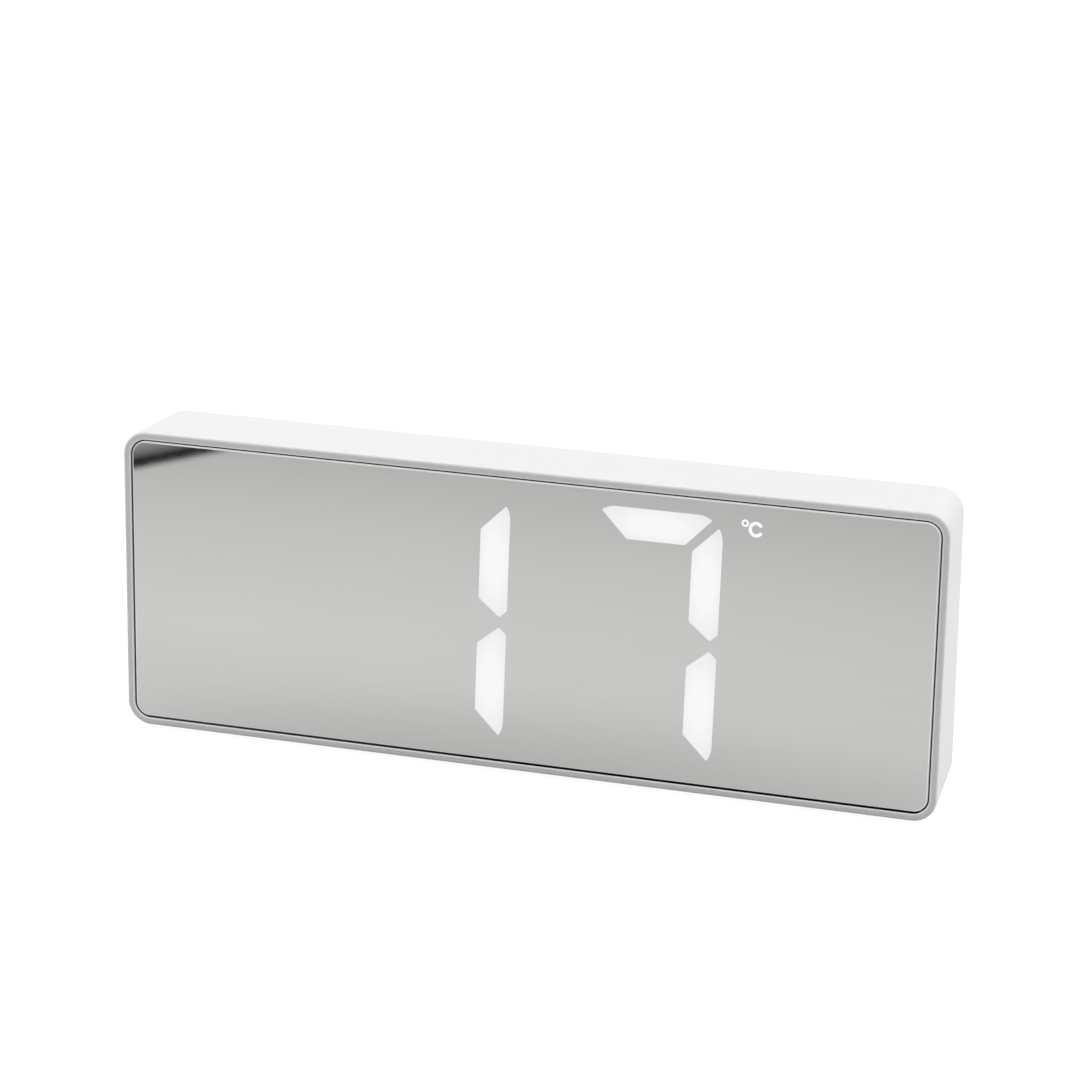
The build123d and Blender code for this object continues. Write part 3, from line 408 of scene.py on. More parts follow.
# Each line gives the colour, its drift, the roughness, and the size and depth of the grain in mm
white_shell = plastic("satin_white_shell", (0.93, 0.93, 0.925), 0.015, 0.42, 0.35, 0.02)
white_cover = plastic("textured_white_cover", (0.90, 0.90, 0.89), 0.02, 0.55, 0.5, 0.05)
white_door = plastic("textured_white_door", (0.895, 0.895, 0.885), 0.02, 0.55, 0.5, 0.05)
grey_button = plastic("satin_grey_button", (0.76, 0.76, 0.755), 0.03, 0.40, 0.4, 0.02)
dress(white_shell, "front_shell")
dress(white_cover, "rear_cover")
dress(white_door, "battery_door")
button_names = ("mode", "set", "up", "down")
dress(grey_button, *[f"button_{name}" for name in button_names])
print("outer plastics:", [m.name for m in (white_shell, white_cover, white_door, grey_button)])

# %% [markdown]
# The groove between the rim and the panel is painted dark inside, a painted shade that deepens the shade
# of the narrow gap. On the shell it is the zone behind the rim's bevel and within the rim. The distance to
# the panel's rounded outline, worked out with a few Math nodes, finds it. The panel's own edge needs it
# again later. Along the bottom the painted shade reaches a little way onto the bevel, because the dark line
# is broadest there. Towards the left end it is painted lighter, where the line is greyer.

# %% Distance round the panel's outline
panel_corner = 2.95 * MM


def corner_distance(tree, where):
    half = (panel_high - panel_low) / 2
    squares = []
    for axis, centre, reach in (("X", middle.x, half.x), ("Z", middle.z, half.z)):
        offset = sum_of(tree, "SUBTRACT", coordinate(tree, where, axis), centre)
        past = sum_of(tree, "SUBTRACT", sum_of(tree, "ABSOLUTE", offset, 0), reach - panel_corner)
        past = sum_of(tree, "MAXIMUM", past, 0)
        squares.append(sum_of(tree, "MULTIPLY", past, past))
    return sum_of(tree, "SQRT", sum_of(tree, "ADD", *squares), 0)


print("panel corner", round(panel_corner / MM, 2), "mm")

# %% Dark groove in the shell
# Painted shade, painted lighter towards the left end of the groove
def fading_painted_shade(tree, where, left_tone, tone):
    across = spread(tree, coordinate(tree, where, "X"), 0, 1, panel_low.x, middle.x)
    return ramp(tree, across, [left_tone] * 3, [tone] * 3, 0, 1)


def paint_groove_shade(material, shade_tones, bevel, low_shade_bevel, depth, gap):
    tree = material.node_tree
    shader = tree.nodes["Principled BSDF"]
    plain = shader.inputs["Base Color"].links[0].from_socket
    where = tree.nodes.new("ShaderNodeTexCoord").outputs["Object"]
    behind_bevel = beyond(tree, where, "Y", shell_low.y + bevel)
    at_bottom = sum_of(tree, "LESS_THAN", coordinate(tree, where, "Z"), panel_low.z)
    low_painted_shade = sum_of(tree, "MULTIPLY", at_bottom, beyond(tree, where, "Y", shell_low.y + low_shade_bevel))
    behind_bevel = sum_of(tree, "MAXIMUM", behind_bevel, low_painted_shade)
    before_ledge = sum_of(tree, "LESS_THAN", coordinate(tree, where, "Y"), shell_low.y + depth)
    within_rim = sum_of(tree, "LESS_THAN", corner_distance(tree, where), panel_corner + gap)
    mask = sum_of(tree, "MULTIPLY", sum_of(tree, "MULTIPLY", behind_bevel, before_ledge), within_rim)
    # The painted shade in the groove
    printed = fading_painted_shade(tree, where, *shade_tones)
    tree.links.new(either(tree, mask, printed, plain), shader.inputs["Base Color"])


# Tones of the painted shade, left end first, and how far it reaches onto the bevel at the bottom
groove_shade_tones, rim_bevel, low_shade_bevel = (0.30, 0.015), 0.21 * MM, 0.17 * MM
ledge_depth, groove_reach = 3.5 * MM, 0.3 * MM
paint_groove_shade(white_shell, groove_shade_tones, rim_bevel, low_shade_bevel, ledge_depth, groove_reach)
print("groove in", white_shell.name)

# %% [markdown]
# Where the rim meets the groove a light line shows. The rim's inner bevel and a narrow band beside it get a
# share of metallic reflection, a painted sheen that makes this light line. The same distance finds this
# lip.

# %% Painted sheen on the rim's lip
def paint_lip_sheen(material, width, bevel, gloss):
    tree = material.node_tree
    shader = tree.nodes["Principled BSDF"]
    where = tree.nodes.new("ShaderNodeTexCoord").outputs["Object"]
    near_panel = sum_of(tree, "LESS_THAN", corner_distance(tree, where), panel_corner + width)
    in_front = sum_of(tree, "LESS_THAN", coordinate(tree, where, "Y"), shell_low.y + bevel)
    lip = sum_of(tree, "MULTIPLY", near_panel, in_front)
    # The metallic share is a painted sheen on the lip
    tree.links.new(sum_of(tree, "MULTIPLY", lip, gloss), shader.inputs["Metallic"])


lip_width, lip_sheen = 0.6 * MM, 0.35
paint_lip_sheen(white_shell, lip_width, rim_bevel, lip_sheen)
print("lip of", white_shell.name)

# %% [markdown]
# Inside the case the same finish serves with other values: black switches, plungers and sounder, dull chip
# epoxy, a glossy reflector, a frosted film and a foam tape. Seven materials set by hand would look the same,
# but one helper keeps them alike. The last value, where there is one, is the scale of the colour's clouds.

# %% Plastics inside the case
black_plunger = plastic("moulded_black_plunger", (0.05, 0.05, 0.05), 0.2, 0.45, 0.2, 0.01, 400.0)
black_switch = plastic("moulded_black_switch", (0.045, 0.045, 0.047), 0.2, 0.50, 0.2, 0.01, 300.0)
black_sounder = plastic("moulded_black_sounder", (0.035, 0.035, 0.037), 0.25, 0.38, 0.3, 0.01, 200.0)
chip_epoxy = plastic("chip_epoxy", (0.03, 0.03, 0.032), 0.25, 0.60, 0.15, 0.01, 300.0)
white_reflector = plastic("glossy_white_reflector", (0.92, 0.92, 0.91), 0.02, 0.33, 0.6, 0.01)
frosted_film = plastic("frosted_film", (0.88, 0.88, 0.86), 0.03, 0.65, 0.12, 0.01, 120.0)
foam_tape = plastic("black_foam_tape", (0.03, 0.03, 0.03), 0.3, 0.85, 0.25, 0.06, 500.0)
dress(black_plunger, *[f"plunger_{name}" for name in button_names])
dress(black_switch, "push_switches")
dress(black_sounder, "sounder")
dress(chip_epoxy, "control_chip", "driver_chips")
dress(white_reflector, "reflector_block")
dress(frosted_film, "diffuser_film")
dress(foam_tape, "panel_tape")
print("inner plastics:", black_sounder.name, chip_epoxy.name, white_reflector.name)

# %% [markdown]
# ## Rubber pads
# The pads are die-cut from rubber sheet: dark, dull, and a little dusty. A fine noise with a deep bump gives
# the sheet's grain, and a wider one lets dust pale it in spots.

# %% Rubber finish
def rubber(name, colour, dust):
    material, tree, shader, where = start_finish(name)
    spots = noise(tree, where, 320.0, 5.0)
    grain = noise(tree, where, 3200.0)
    tree.links.new(ramp(tree, spots, colour, dust, 0.45, 0.8), shader.inputs["Base Color"])
    tree.links.new(spread(tree, spots, 0.78, 0.92), shader.inputs["Roughness"])
    raise_grain(tree, shader, grain, 0.05, 0.5)
    return material


dark_rubber = rubber("dark_rubber_pad", (0.045, 0.045, 0.046), (0.085, 0.085, 0.083))
dress(dark_rubber, "foot_pads")
print("rubber:", dark_rubber.name)

# %% [markdown]
# ## Metal
# Plated and drawn metal shows fine lines along the way it was worked. A noise that is stretched along one
# axis gives them. It drives both the colour, a little, and the roughness.

# %% Metal finish
def metal(name, colour, roughness, stretch, lines_per_mm, drift, play):
    material, tree, shader, where = start_finish(name)
    shader.inputs["Metallic"].default_value = 1.0
    lines = noise(tree, where, lines_per_mm / MM, 2.0, stretch)
    tree.links.new(ramp(tree, lines, darker(colour, drift), colour), shader.inputs["Base Color"])
    tree.links.new(spread(tree, lines, roughness - play, roughness + play), shader.inputs["Roughness"])
    return material


# Each line gives the colour, the roughness, the stretch and number of the lines per mm, and the play of both
drawn_can = metal("drawn_steel_can", (0.70, 0.70, 0.71), 0.35, (0.06, 1, 1), 4.0, 0.12, 0.06)
plated_socket = metal("plated_socket", (0.72, 0.72, 0.71), 0.22, (1, 0.08, 1), 3.0, 0.08, 0.04)
nickel_contact = metal("nickel_contact", (0.66, 0.64, 0.60), 0.22, (1, 1, 0.08), 1.2, 0.05, 0.02)
zinc_screw = metal("zinc_plated_screw", (0.45, 0.45, 0.46), 0.34, (1, 1, 1), 1.5, 0.08, 0.04)
dress(drawn_can, "watch_crystal")
dress(plated_socket, "inlet_socket")
dress(nickel_contact, "contact_plates", "contact_springs")
dress(zinc_screw, "cover_screws", "board_screws")
print("metals:", [m.name for m in (drawn_can, plated_socket, nickel_contact, zinc_screw)])

# %% [markdown]
# ## Circuit boards
# A board is green solder resist over copper tracks. The tracks show as paler green lines. A Brick Texture
# with long low bricks draws such lines without any drawing by hand.

# %% Board finish
def solder_resist(name, resist, track):
    material, tree, shader, where = start_finish(name)
    flat = tree.nodes.new("ShaderNodeCombineXYZ")
    tree.links.new(coordinate(tree, where, "X"), flat.inputs["X"])
    tree.links.new(coordinate(tree, where, "Z"), flat.inputs["Y"])
    tracks = tree.nodes.new("ShaderNodeTexBrick")
    tracks.inputs["Scale"].default_value = 90.0
    tracks.inputs["Mortar Size"].default_value = 0.012
    tracks.inputs["Brick Width"].default_value = 0.9
    tracks.inputs["Row Height"].default_value = 0.16
    tracks.inputs["Color1"].default_value = (*resist, 1)
    tracks.inputs["Color2"].default_value = (*darker(resist, 0.12), 1)
    tracks.inputs["Mortar"].default_value = (*track, 1)
    tree.links.new(flat.outputs["Vector"], tracks.inputs["Vector"])
    tree.links.new(tracks.outputs["Color"], shader.inputs["Base Color"])
    tree.links.new(spread(tree, noise(tree, where, 180.0), 0.29, 0.38), shader.inputs["Roughness"])
    return material


green_board = solder_resist("green_solder_resist", (0.012, 0.085, 0.035), (0.03, 0.16, 0.07))
dress(green_board, "led_board", "inlet_board")
print("board:", green_board.name)

# %% [markdown]
# ## Pieces of two materials
# Some small pieces are one solid in the CAD but two materials in life: a light chip has a yellow window on
# a white body, a capacitor a bare top, a sensor tinned leads, a wire pair two colours. A plane in the
# piece's own coordinates divides them. More solids would work too, but would add nothing to how the clock
# is put together.

# %% Finish with a dividing plane
def two_part(name, axis, limit, inside, outside, metal_inside, roughness):
    material, tree, shader, where = start_finish(name)
    mask = beyond(tree, where, axis, limit)
    wear = noise(tree, where, 900.0, 3.0)
    outer = ramp(tree, wear, darker(outside, 0.15), outside)
    inner = ramp(tree, wear, darker(inside, 0.10), inside)
    tree.links.new(either(tree, mask, inner, outer), shader.inputs["Base Color"])
    tree.links.new(spread(tree, wear, roughness - 0.05, roughness + 0.05), shader.inputs["Roughness"])
    if metal_inside:
        tree.links.new(mask, shader.inputs["Metallic"])
    return material


chip_body, chip_window = (0.86, 0.86, 0.84), (0.80, 0.62, 0.10)
bare_can, dark_sleeve = (0.72, 0.72, 0.73), (0.015, 0.018, 0.05)
sensor_epoxy, tinned_lead = (0.02, 0.02, 0.021), (0.55, 0.54, 0.50)
gold_contact, black_tongue = (0.80, 0.58, 0.22), (0.02, 0.02, 0.02)
window_depth, bare_top, bead_length, contact_depth = 0.12 * MM, 0.45 * MM, 2.6 * MM, 0.05 * MM
window_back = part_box("segment_leds")[0].y + window_depth
sleeve_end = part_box("capacitors")[1].y - bare_top
bead_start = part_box("temperature_sensor")[1].y - bead_length
contact_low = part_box("inlet_tongue")[1].z - contact_depth
# The last two values say whether the part beyond the plane is metal, and how rough the piece is
light_chip = two_part("light_chip", "Y", window_back, chip_body, chip_window, False, 0.35)
sleeve = two_part("capacitor_sleeve", "Y", sleeve_end, bare_can, dark_sleeve, True, 0.34)
bead = two_part("sensor_bead", "Y", bead_start, sensor_epoxy, tinned_lead, False, 0.35)
tongue = two_part("inlet_tongue", "Z", contact_low, gold_contact, black_tongue, True, 0.34)
dress(light_chip, "segment_leds")
dress(sleeve, "capacitors")
dress(bead, "temperature_sensor")
dress(tongue, "inlet_tongue")
print("two-part finishes:", light_chip.name, sleeve.name, bead.name, tongue.name)

# %% Wire pairs, red and black
def wire_pair(node):
    low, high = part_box(node)
    red, black = (0.42, 0.02, 0.018), (0.02, 0.02, 0.02)
    return two_part(node + "_insulation", "X", (low.x + high.x) / 2, red, black, False, 0.45)


for node in ("battery_leads", "inlet_leads"):
    dress(wire_pair(node), node)
print("wires:", nodes["battery_leads"].data.materials[0].name, nodes["inlet_leads"].data.materials[0].name)

# %% [markdown]
# ## Cells
# A small cell is a steel can in a plain printed sleeve, with bare steel at both ends. The middle cell lies
# the other way round, so the coordinate along the cells is turned round for it before the sleeve's ends are
# cut off.

# %% Cell finish
bare_nub, sleeve_reach, band_reach = 1.7 * MM, 43.9 * MM, 9.0 * MM
line_near, line_far = 9.9 * MM, 10.6 * MM
soft_ramp = (0.05, 0.95)


def cell_sleeve(name, sleeve_colour, band_colour):
    material, tree, shader, where = start_finish(name)
    low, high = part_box("battery_cells")
    pitch = (high.z - low.z) / 3
    height = sum_of(tree, "SUBTRACT", coordinate(tree, where, "Z"), (low.z + high.z) / 2)
    in_middle = sum_of(tree, "LESS_THAN", sum_of(tree, "ABSOLUTE", height, 0), pitch / 2)
    turned = sum_of(tree, "SUBTRACT", 1, sum_of(tree, "MULTIPLY", in_middle, 2))
    along = sum_of(tree, "MULTIPLY", coordinate(tree, where, "X"), turned)
    nub_end = sum_of(tree, "GREATER_THAN", along, high.x - bare_nub)
    flat_end = sum_of(tree, "LESS_THAN", along, high.x - sleeve_reach)
    bare = sum_of(tree, "MAXIMUM", nub_end, flat_end)
    band = sum_of(tree, "GREATER_THAN", along, high.x - band_reach)
    line_start = sum_of(tree, "GREATER_THAN", along, high.x - line_far)
    line_end = sum_of(tree, "LESS_THAN", along, high.x - line_near)
    band = sum_of(tree, "MAXIMUM", band, sum_of(tree, "MULTIPLY", line_start, line_end))
    wear = noise(tree, where, 110.0, 1.0, (0.4, 1, 1))
    sleeve_print = ramp(tree, wear, darker(sleeve_colour, 0.12), sleeve_colour, *soft_ramp)
    band_print = ramp(tree, wear, darker(band_colour, 0.06), band_colour, *soft_ramp)
    printed = either(tree, band, band_print, sleeve_print)
    steel = ramp(tree, wear, (0.62, 0.62, 0.63), (0.74, 0.74, 0.74), *soft_ramp)
    tree.links.new(either(tree, bare, steel, printed), shader.inputs["Base Color"])
    tree.links.new(bare, shader.inputs["Metallic"])
    tree.links.new(spread(tree, wear, 0.29, 0.36, *soft_ramp), shader.inputs["Roughness"])
    return material


sleeved_cell = cell_sleeve("plain_cell_sleeve", (0.05, 0.11, 0.17), (0.55, 0.57, 0.58))
dress(sleeved_cell, "battery_cells")
print("cells:", sleeved_cell.name)

# %% [markdown]
# ## Half-silvered panel
# The panel is clear acrylic with a thin silver film. It reflects a little over half of the light, so white
# paper shows as light grey. The film has faint level clouds from the roller that laid it. Its edge is
# ground, so the bevel and a hair's breadth of the face beside it are duller than the film, and brighter:
# a painted highlight. The sawn edge behind the bevel and the bevel along the bottom, where the dark line is
# broadest, are painted dark: a painted shade. The distance round the panel's outline finds the ground edge.

# %% Mirror finish
# The brighter colour of the ground edge is a painted highlight
film_silver, edge_highlight_colour = (0.609, 0.611, 0.595), (0.90, 0.90, 0.89)
panel_bevel, highlight_border, sawn_start = 0.2 * MM, 0.12 * MM, 0.05 * MM
haze_scale, streak_scale, dust_scale = 14.0, 520.0, 420.0
edge_frost = 0.35


def mirror_finish(name, silver, edge_highlight, shade_tones, bevel, border):
    material, tree, shader, where = start_finish(name)
    on_edge = sum_of(tree, "GREATER_THAN", corner_distance(tree, where), panel_corner - bevel - border)
    behind_bevel = beyond(tree, where, "Y", face_y + bevel + sawn_start)
    lowest = sum_of(tree, "LESS_THAN", coordinate(tree, where, "Z"), panel_low.z + bevel + border / 2)
    dark = sum_of(tree, "MAXIMUM", behind_bevel, lowest)
    haze = noise(tree, where, haze_scale, 2.0)
    streaks = noise(tree, where, streak_scale, 2.0, (0.12, 1, 1))
    clouded = ramp(tree, haze, darker(silver, 0.03), silver, 0.25, 0.75)
    streaked = ramp(tree, streaks, (0.982, 0.982, 0.982), (1, 1, 1), 0.15, 0.85)
    film = tree.nodes.new("ShaderNodeMix")
    film.data_type = "RGBA"
    film.blend_type = "MULTIPLY"
    film.inputs["Factor"].default_value = 1.0
    tree.links.new(clouded, film.inputs[6])
    tree.links.new(streaked, film.inputs[7])
    # The ground edge gets a brighter colour: a painted highlight
    front = either(tree, on_edge, edge_highlight, film.outputs[2])
    # The sawn edge and the lowest bevel are painted dark: a painted shade
    tree.links.new(either(tree, dark, fading_painted_shade(tree, where, *shade_tones), front), shader.inputs["Base Color"])
    tree.links.new(sum_of(tree, "SUBTRACT", 1, dark), shader.inputs["Metallic"])
    dust = spread(tree, noise(tree, where, dust_scale), 0.03, 0.045)
    frost = sum_of(tree, "MULTIPLY", on_edge, edge_frost)
    tree.links.new(sum_of(tree, "ADD", dust, frost), shader.inputs["Roughness"])
    return material


silver_panel = mirror_finish(
    "half_silvered_panel", film_silver, edge_highlight_colour, groove_shade_tones, panel_bevel, highlight_border
)
dress(silver_panel, "mirror_panel")
print("mirror:", silver_panel.name)

# %% [markdown]
# ## Lit segments
# A digit is a rounded block cut into seven bars by narrow slits. So one block is modelled with its rounded
# corners, and each lit bar is a copy of it that is cut down with a few straight cuts, as with a saw.
# Drawing each bar point by point would work too, but then the rounded corners would have to be repeated.

# %% One digit block
digit_width, digit_height, digit_corner = 25.7 * MM, 50.76 * MM, 5.0 * MM
top_stroke, stroke, slit, lean = 6.2 * MM, 5.75 * MM, 1.85 * MM, 0.021
glow_proud = 0.03 * MM
bpy.ops.object.select_all(action="DESELECT")
bpy.ops.mesh.primitive_cube_add(size=1, scale=(digit_width, glow_proud, digit_height))
digit_block = bpy.context.object
digit_block.name = "digit_block"
bpy.ops.object.transform_apply(location=True, rotation=True, scale=True)
bpy.ops.object.mode_set(mode="EDIT")
bpy.ops.mesh.select_mode(type="EDGE")
bpy.ops.mesh.select_all(action="DESELECT")
bpy.ops.object.mode_set(mode="OBJECT")
for edge in digit_block.data.edges:
    a, b = (digit_block.data.vertices[i].co for i in edge.vertices)
    edge.select = abs(a.y - b.y) > glow_proud / 2
bpy.ops.object.mode_set(mode="EDIT")
bpy.ops.mesh.bevel(offset=digit_corner, segments=10, profile=0.5, affect="EDGES")
bpy.ops.object.mode_set(mode="OBJECT")
print("digit block", round(digit_width / MM, 1), "x", round(digit_height / MM, 1), "mm")

# %% [markdown]
# The bars at the top and bottom end in slanting cuts that run through the corners of the digit. The upright
# bars have one such cut, and a blunt point at the digit's waist, which lies a little below its middle. At
# last the sharp corners are rounded, because light that spreads in a panel never ends in a needle's point.

# %% Cut the lit bars
half_w, half_h = digit_width / 2, digit_height / 2
slant = slit / math.sqrt(2)
waist, half_waist, tip_inset = -0.225 * MM, 1.035 * MM, 1.5 * MM
upper_gap, tip_radius, sharp_turn = 0.2 * MM, 0.3 * MM, math.radians(25)
top_slope, waist_slope, blunt_slope = 1.055, 0.83, 0.90


def copy_block(name):
    bpy.ops.object.select_all(action="DESELECT")
    digit_block.select_set(True)
    bpy.context.view_layer.objects.active = digit_block
    bpy.ops.object.duplicate(linked=False)
    bpy.context.object.name = name
    return bpy.context.object


def saw(point, outward):
    bpy.ops.object.mode_set(mode="EDIT")
    bpy.ops.mesh.select_all(action="SELECT")
    facing = Vector((outward[0], 0, outward[1])).normalized()
    bpy.ops.mesh.bisect(plane_co=(point[0], 0, point[1]), plane_no=facing, use_fill=True, clear_outer=True)
    bpy.ops.object.mode_set(mode="OBJECT")


def soften(bar, radius):
    sides = {}
    for polygon in bar.data.polygons:
        for key in polygon.edge_keys:
            sides.setdefault(key, []).append(polygon.normal.copy())
    bpy.ops.object.mode_set(mode="EDIT")
    bpy.ops.mesh.select_mode(type="EDGE")
    bpy.ops.mesh.select_all(action="DESELECT")
    bpy.ops.object.mode_set(mode="OBJECT")
    for edge in bar.data.edges:
        a, b = (bar.data.vertices[i].co for i in edge.vertices)
        first, second = sides[edge.key]
        edge.select = abs(a.y - b.y) > glow_proud / 2 and first.angle(second) > sharp_turn
    bpy.ops.object.mode_set(mode="EDIT")
    bpy.ops.mesh.bevel(offset=radius, segments=5, profile=0.5, affect="EDGES", clamp_overlap=True)
    bpy.ops.object.mode_set(mode="OBJECT")


def top_bar(name):
    bar = copy_block(name)
    saw((0, half_h - top_stroke), (0, -1))
    for side in (1, -1):
        saw((side * (half_w - slant), half_h), (side * top_slope, -1))
    soften(bar, tip_radius)
    return bar


def upright_bar(name, up):
    bar = copy_block(name)
    corner_gap = slant + upper_gap if up > 0 else slant
    saw((half_w - stroke, 0), (-1, 0))
    saw((half_w, up * (half_h - corner_gap)), (-1, up))
    tip = (half_w - tip_inset, waist + up * half_waist)
    saw(tip, (-waist_slope, -up))
    saw(tip, (blunt_slope, -up))
    soften(bar, tip_radius)
    return bar


lit_bars = [
    upright_bar("lit_two_upper", 1),
    upright_bar("lit_two_lower", -1),
    top_bar("lit_three_top"),
    upright_bar("lit_three_upper", 1),
    upright_bar("lit_three_lower", -1),
]
bpy.ops.object.select_all(action="DESELECT")
digit_block.select_set(True)
bpy.ops.object.delete()
print("bars:", [(bar.name, len(bar.data.polygons)) for bar in lit_bars])

# %% [markdown]
# The digits lean a little to the right, so each bar is sheared by a matrix before it is moved to its
# digit's place on the panel. The light spreads a little in the panel, so it shows slightly lower than the
# wells behind it.

# %% Lean and place the bars
digit_drop = 0.1 * MM
digit_two, digit_three = -15.84 * MM, 25.55 * MM
leaning = Matrix(((1, 0, lean, 0), (0, 1, 0, 0), (0, 0, 1, 0), (0, 0, 0, 1)))
for bar in lit_bars:
    centre_x = digit_two if "two" in bar.name else digit_three
    bar.data.transform(leaning)
    bar.data.transform(Matrix.Translation((centre_x, face_y - glow_proud / 2, middle.z - digit_drop)))
    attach(bar, "case")
print("digits at", round(digit_two / MM, 2), round(digit_three / MM, 2), "mm")

# %% [markdown]
# One lamp sits behind the middle of each bar, so a bar is brightest there and a little dimmer at its ends.
# A spherical gradient, centred on the bar by a Mapping node, gives that fall-off.

# %% Glow of the bars
def glow(name, centre, reach, bright, dim):
    material, tree, shader, where = start_finish(name)
    shader.inputs["Base Color"].default_value = (0.30, 0.30, 0.30, 1)
    shader.inputs["Roughness"].default_value = 0.25
    shader.inputs["Emission Strength"].default_value = 1.0
    about = tree.nodes.new("ShaderNodeMapping")
    about.vector_type = "TEXTURE"
    about.inputs["Location"].default_value = centre
    about.inputs["Scale"].default_value = reach
    ball = tree.nodes.new("ShaderNodeTexGradient")
    ball.gradient_type = "SPHERICAL"
    tree.links.new(where, about.inputs["Vector"])
    tree.links.new(about.outputs["Vector"], ball.inputs["Vector"])
    tone = ramp(tree, ball.outputs["Color"], [dim] * 3, [bright] * 3, 0.0, 0.7)
    tree.links.new(tone, shader.inputs["Emission Color"])
    return material


def box_of(piece):
    points = [v.co for v in piece.data.vertices]
    return Vector(map(min, *points)), Vector(map(max, *points))


bar_bright, bar_dim = 0.775, 0.62
reach_share, reach_past, reach_deep = 0.62, 2 * MM, 10 * MM
for bar in lit_bars:
    low, high = box_of(bar)
    size = high - low
    reach = (size.x * reach_share + reach_past, reach_deep, size.z * reach_share + reach_past)
    bar.data.materials.clear()
    bar.data.materials.append(glow(bar.name + "_glow", (low + high) / 2, reach, bar_bright, bar_dim))
print("glows:", [bar.data.materials[0].name for bar in lit_bars])

# %% [markdown]
# ## Unit sign
# The small degree ring and C stand beside the third digit. Both are drawn as flat ribbons: a ring is a circle
# whose edge is extruded inwards, and the C is the same ring, cut open on its right side.

# %% Ring and C
upright = (math.pi / 2, 0, 0)


def ribbon(name, centre, radius_x, radius_z, width, corners):
    bpy.ops.object.select_all(action="DESELECT")
    bpy.ops.mesh.primitive_circle_add(vertices=corners, radius=1, fill_type="NOTHING", rotation=upright)
    piece = bpy.context.object
    piece.name = name
    bpy.ops.object.transform_apply(rotation=True)
    bpy.ops.object.mode_set(mode="EDIT")
    bpy.ops.mesh.select_all(action="SELECT")
    bpy.ops.transform.resize(value=(radius_x, 1, radius_z))
    bpy.ops.mesh.extrude_edges_move()
    bpy.ops.transform.resize(value=((radius_x - width) / radius_x, 1, (radius_z - width) / radius_z))
    bpy.ops.object.mode_set(mode="OBJECT")
    piece.data.transform(Matrix.Translation(centre))
    return piece


def thicken(piece, depth):
    bpy.ops.object.select_all(action="DESELECT")
    piece.select_set(True)
    bpy.context.view_layer.objects.active = piece
    wall = piece.modifiers.new("wall", "SOLIDIFY")
    wall.thickness = depth
    wall.offset = 0
    bpy.ops.object.modifier_apply(modifier=wall.name)
    bpy.ops.object.mode_set(mode="EDIT")
    bpy.ops.mesh.select_all(action="SELECT")
    bpy.ops.mesh.normals_make_consistent(inside=False)
    bpy.ops.object.mode_set(mode="OBJECT")


def cut_open(piece, centre, opening):
    bpy.ops.object.mode_set(mode="EDIT")
    bpy.ops.mesh.select_all(action="DESELECT")
    bpy.ops.object.mode_set(mode="OBJECT")
    for polygon in piece.data.polygons:
        step = polygon.center - centre
        polygon.select = step.x > 0 and abs(step.z) < opening * step.x
    bpy.ops.object.mode_set(mode="EDIT")
    bpy.ops.mesh.select_mode(type="FACE")
    bpy.ops.mesh.delete(type="FACE")
    bpy.ops.object.mode_set(mode="OBJECT")


sign_y = face_y - glow_proud / 2
ring_right, ring_up, ring_radius, ring_width = 43.0 * MM, 24.6 * MM, 0.70 * MM, 0.34 * MM
letter_right, letter_up, letter_width, letter_opening = 45.1 * MM, 23.55 * MM, 0.60 * MM, 0.62
letter_half_width, letter_half_height = 1.42 * MM, 1.5 * MM
sign_reach, sign_bright, sign_dim = (6 * MM, 6 * MM, 6 * MM), 0.86, 0.80
ring_centre = Vector((ring_right, sign_y, middle.z + ring_up))
letter_centre = Vector((letter_right, sign_y, middle.z + letter_up))
ring = ribbon("unit_ring", ring_centre, ring_radius, ring_radius, ring_width, corners=40)
letter = ribbon(
    "unit_letter", letter_centre, letter_half_width, letter_half_height, letter_width, corners=64
)
cut_open(letter, letter_centre, letter_opening)
for piece in (ring, letter):
    thicken(piece, glow_proud)
    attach(piece, "case")
    light = glow(piece.name + "_glow", letter_centre, sign_reach, sign_bright, sign_dim)
    piece.data.materials.append(light)
print("sign:", ring.name, letter.name)

# %% [markdown]
# ## Signs on the buttons
# The buttons on the back carry small moulded signs: three bars, a ring, and two arrow heads. Each is modelled
# flat at the origin, given a little height, and then stood on its button. They are a shade darker than the
# buttons, as when a sign is pad-printed on its own relief.

# %% Flat signs
sign_height, sign_sunk, inset_share = 0.12 * MM, 0.02 * MM, 0.12
sign_ink = plastic("button_sign_ink", (0.20, 0.20, 0.205), 0.1, 0.5, 0.3, 0.01)


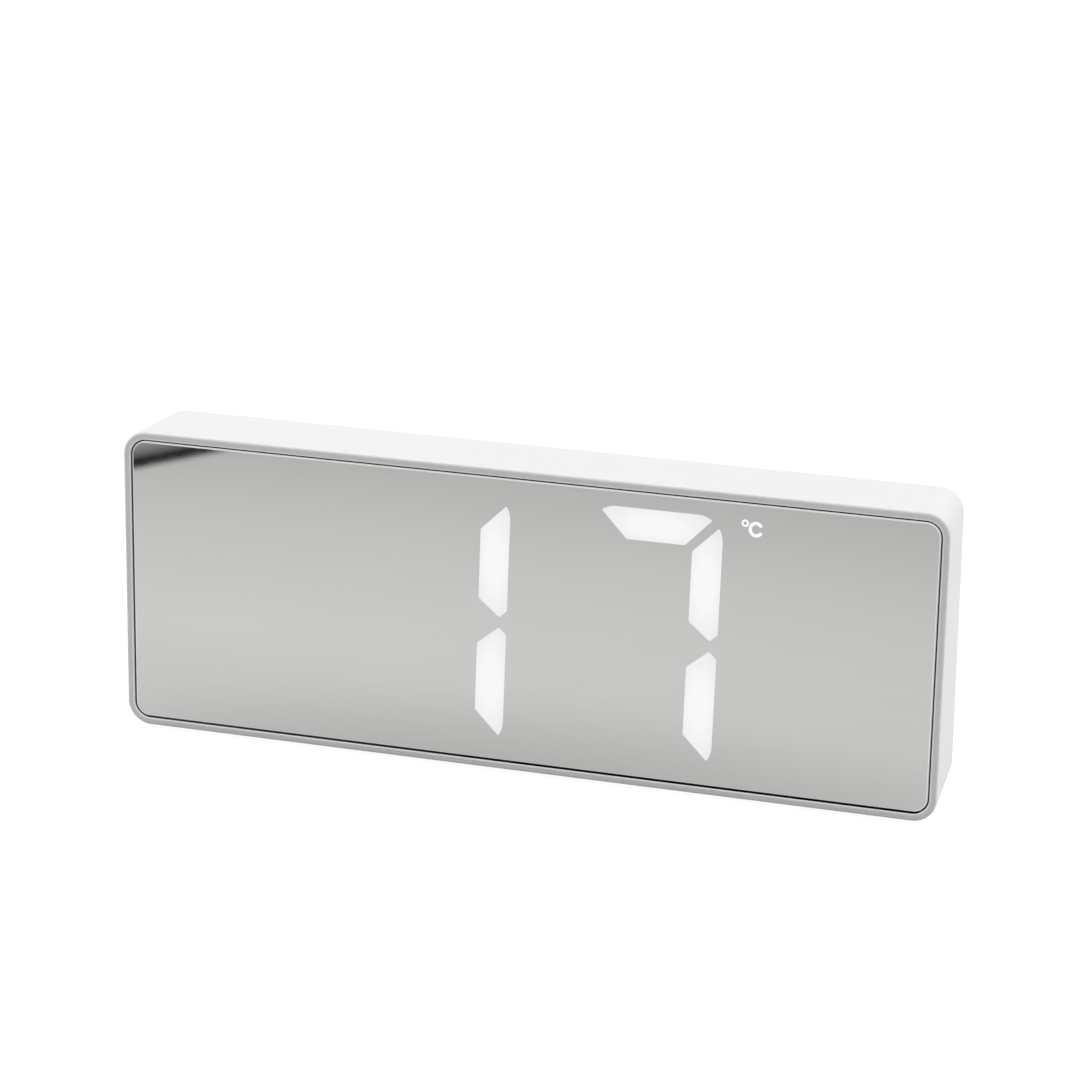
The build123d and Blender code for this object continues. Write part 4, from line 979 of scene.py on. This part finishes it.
def flat_corner(name, corners, radius, turn):
    bpy.ops.object.select_all(action="DESELECT")
    bpy.ops.mesh.primitive_circle_add(vertices=corners, radius=radius, fill_type="NGON", rotation=upright)
    piece = bpy.context.object
    piece.name = name
    bpy.ops.object.transform_apply(rotation=True)
    bpy.ops.object.mode_set(mode="EDIT")
    bpy.ops.mesh.select_all(action="SELECT")
    bpy.ops.mesh.inset(thickness=radius * inset_share)
    bpy.ops.object.mode_set(mode="OBJECT")
    piece.data.transform(Matrix.Rotation(turn, 4, "Y"))
    return piece


def three_bars(name, length, width, pitch):
    bpy.ops.object.select_all(action="DESELECT")
    bpy.ops.mesh.primitive_plane_add(size=1, rotation=upright)
    piece = bpy.context.object
    piece.name = name
    bpy.ops.object.transform_apply(rotation=True)
    piece.data.transform(Matrix.Diagonal((length, 1, width, 1)))
    bpy.ops.object.mode_set(mode="EDIT")
    bpy.ops.mesh.select_all(action="SELECT")
    for step in (pitch, -2 * pitch):
        bpy.ops.mesh.duplicate_move(TRANSFORM_OT_translate={"value": (0, 0, step)})
    bpy.ops.object.mode_set(mode="OBJECT")
    return piece


set_radius, arrow_radius = 1.25 * MM, 1.5 * MM
signs = {
    "mode": three_bars("sign_mode", length=2.6 * MM, width=0.36 * MM, pitch=0.85 * MM),
    "set": ribbon("sign_set", (0, 0, 0), set_radius, set_radius, width=0.38 * MM, corners=32),
    "up": flat_corner("sign_up", corners=3, radius=arrow_radius, turn=0),
    "down": flat_corner("sign_down", corners=3, radius=arrow_radius, turn=math.pi),
}
print("signs:", [(s.name, len(s.data.polygons)) for s in signs.values()])

# %% Stand the signs on their buttons
for name, sign in signs.items():
    low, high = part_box(f"button_{name}")
    level = high.y + sign_height / 2 - sign_sunk
    centre = Vector(((low.x + high.x) / 2, level, (low.z + high.z) / 2))
    sign.data.transform(Matrix.Translation(centre))
    thicken(sign, sign_height)
    sign.data.materials.clear()
    sign.data.materials.append(sign_ink)
    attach(sign, f"{name}_button")
print("sign faces:", [(s.name, len(s.data.polygons)) for s in signs.values()])

# %% [markdown]
# ## Size of the dressed model
# The dressed model has to stay in the box of the solids.

# %% Sizes
bpy.context.view_layer.update()
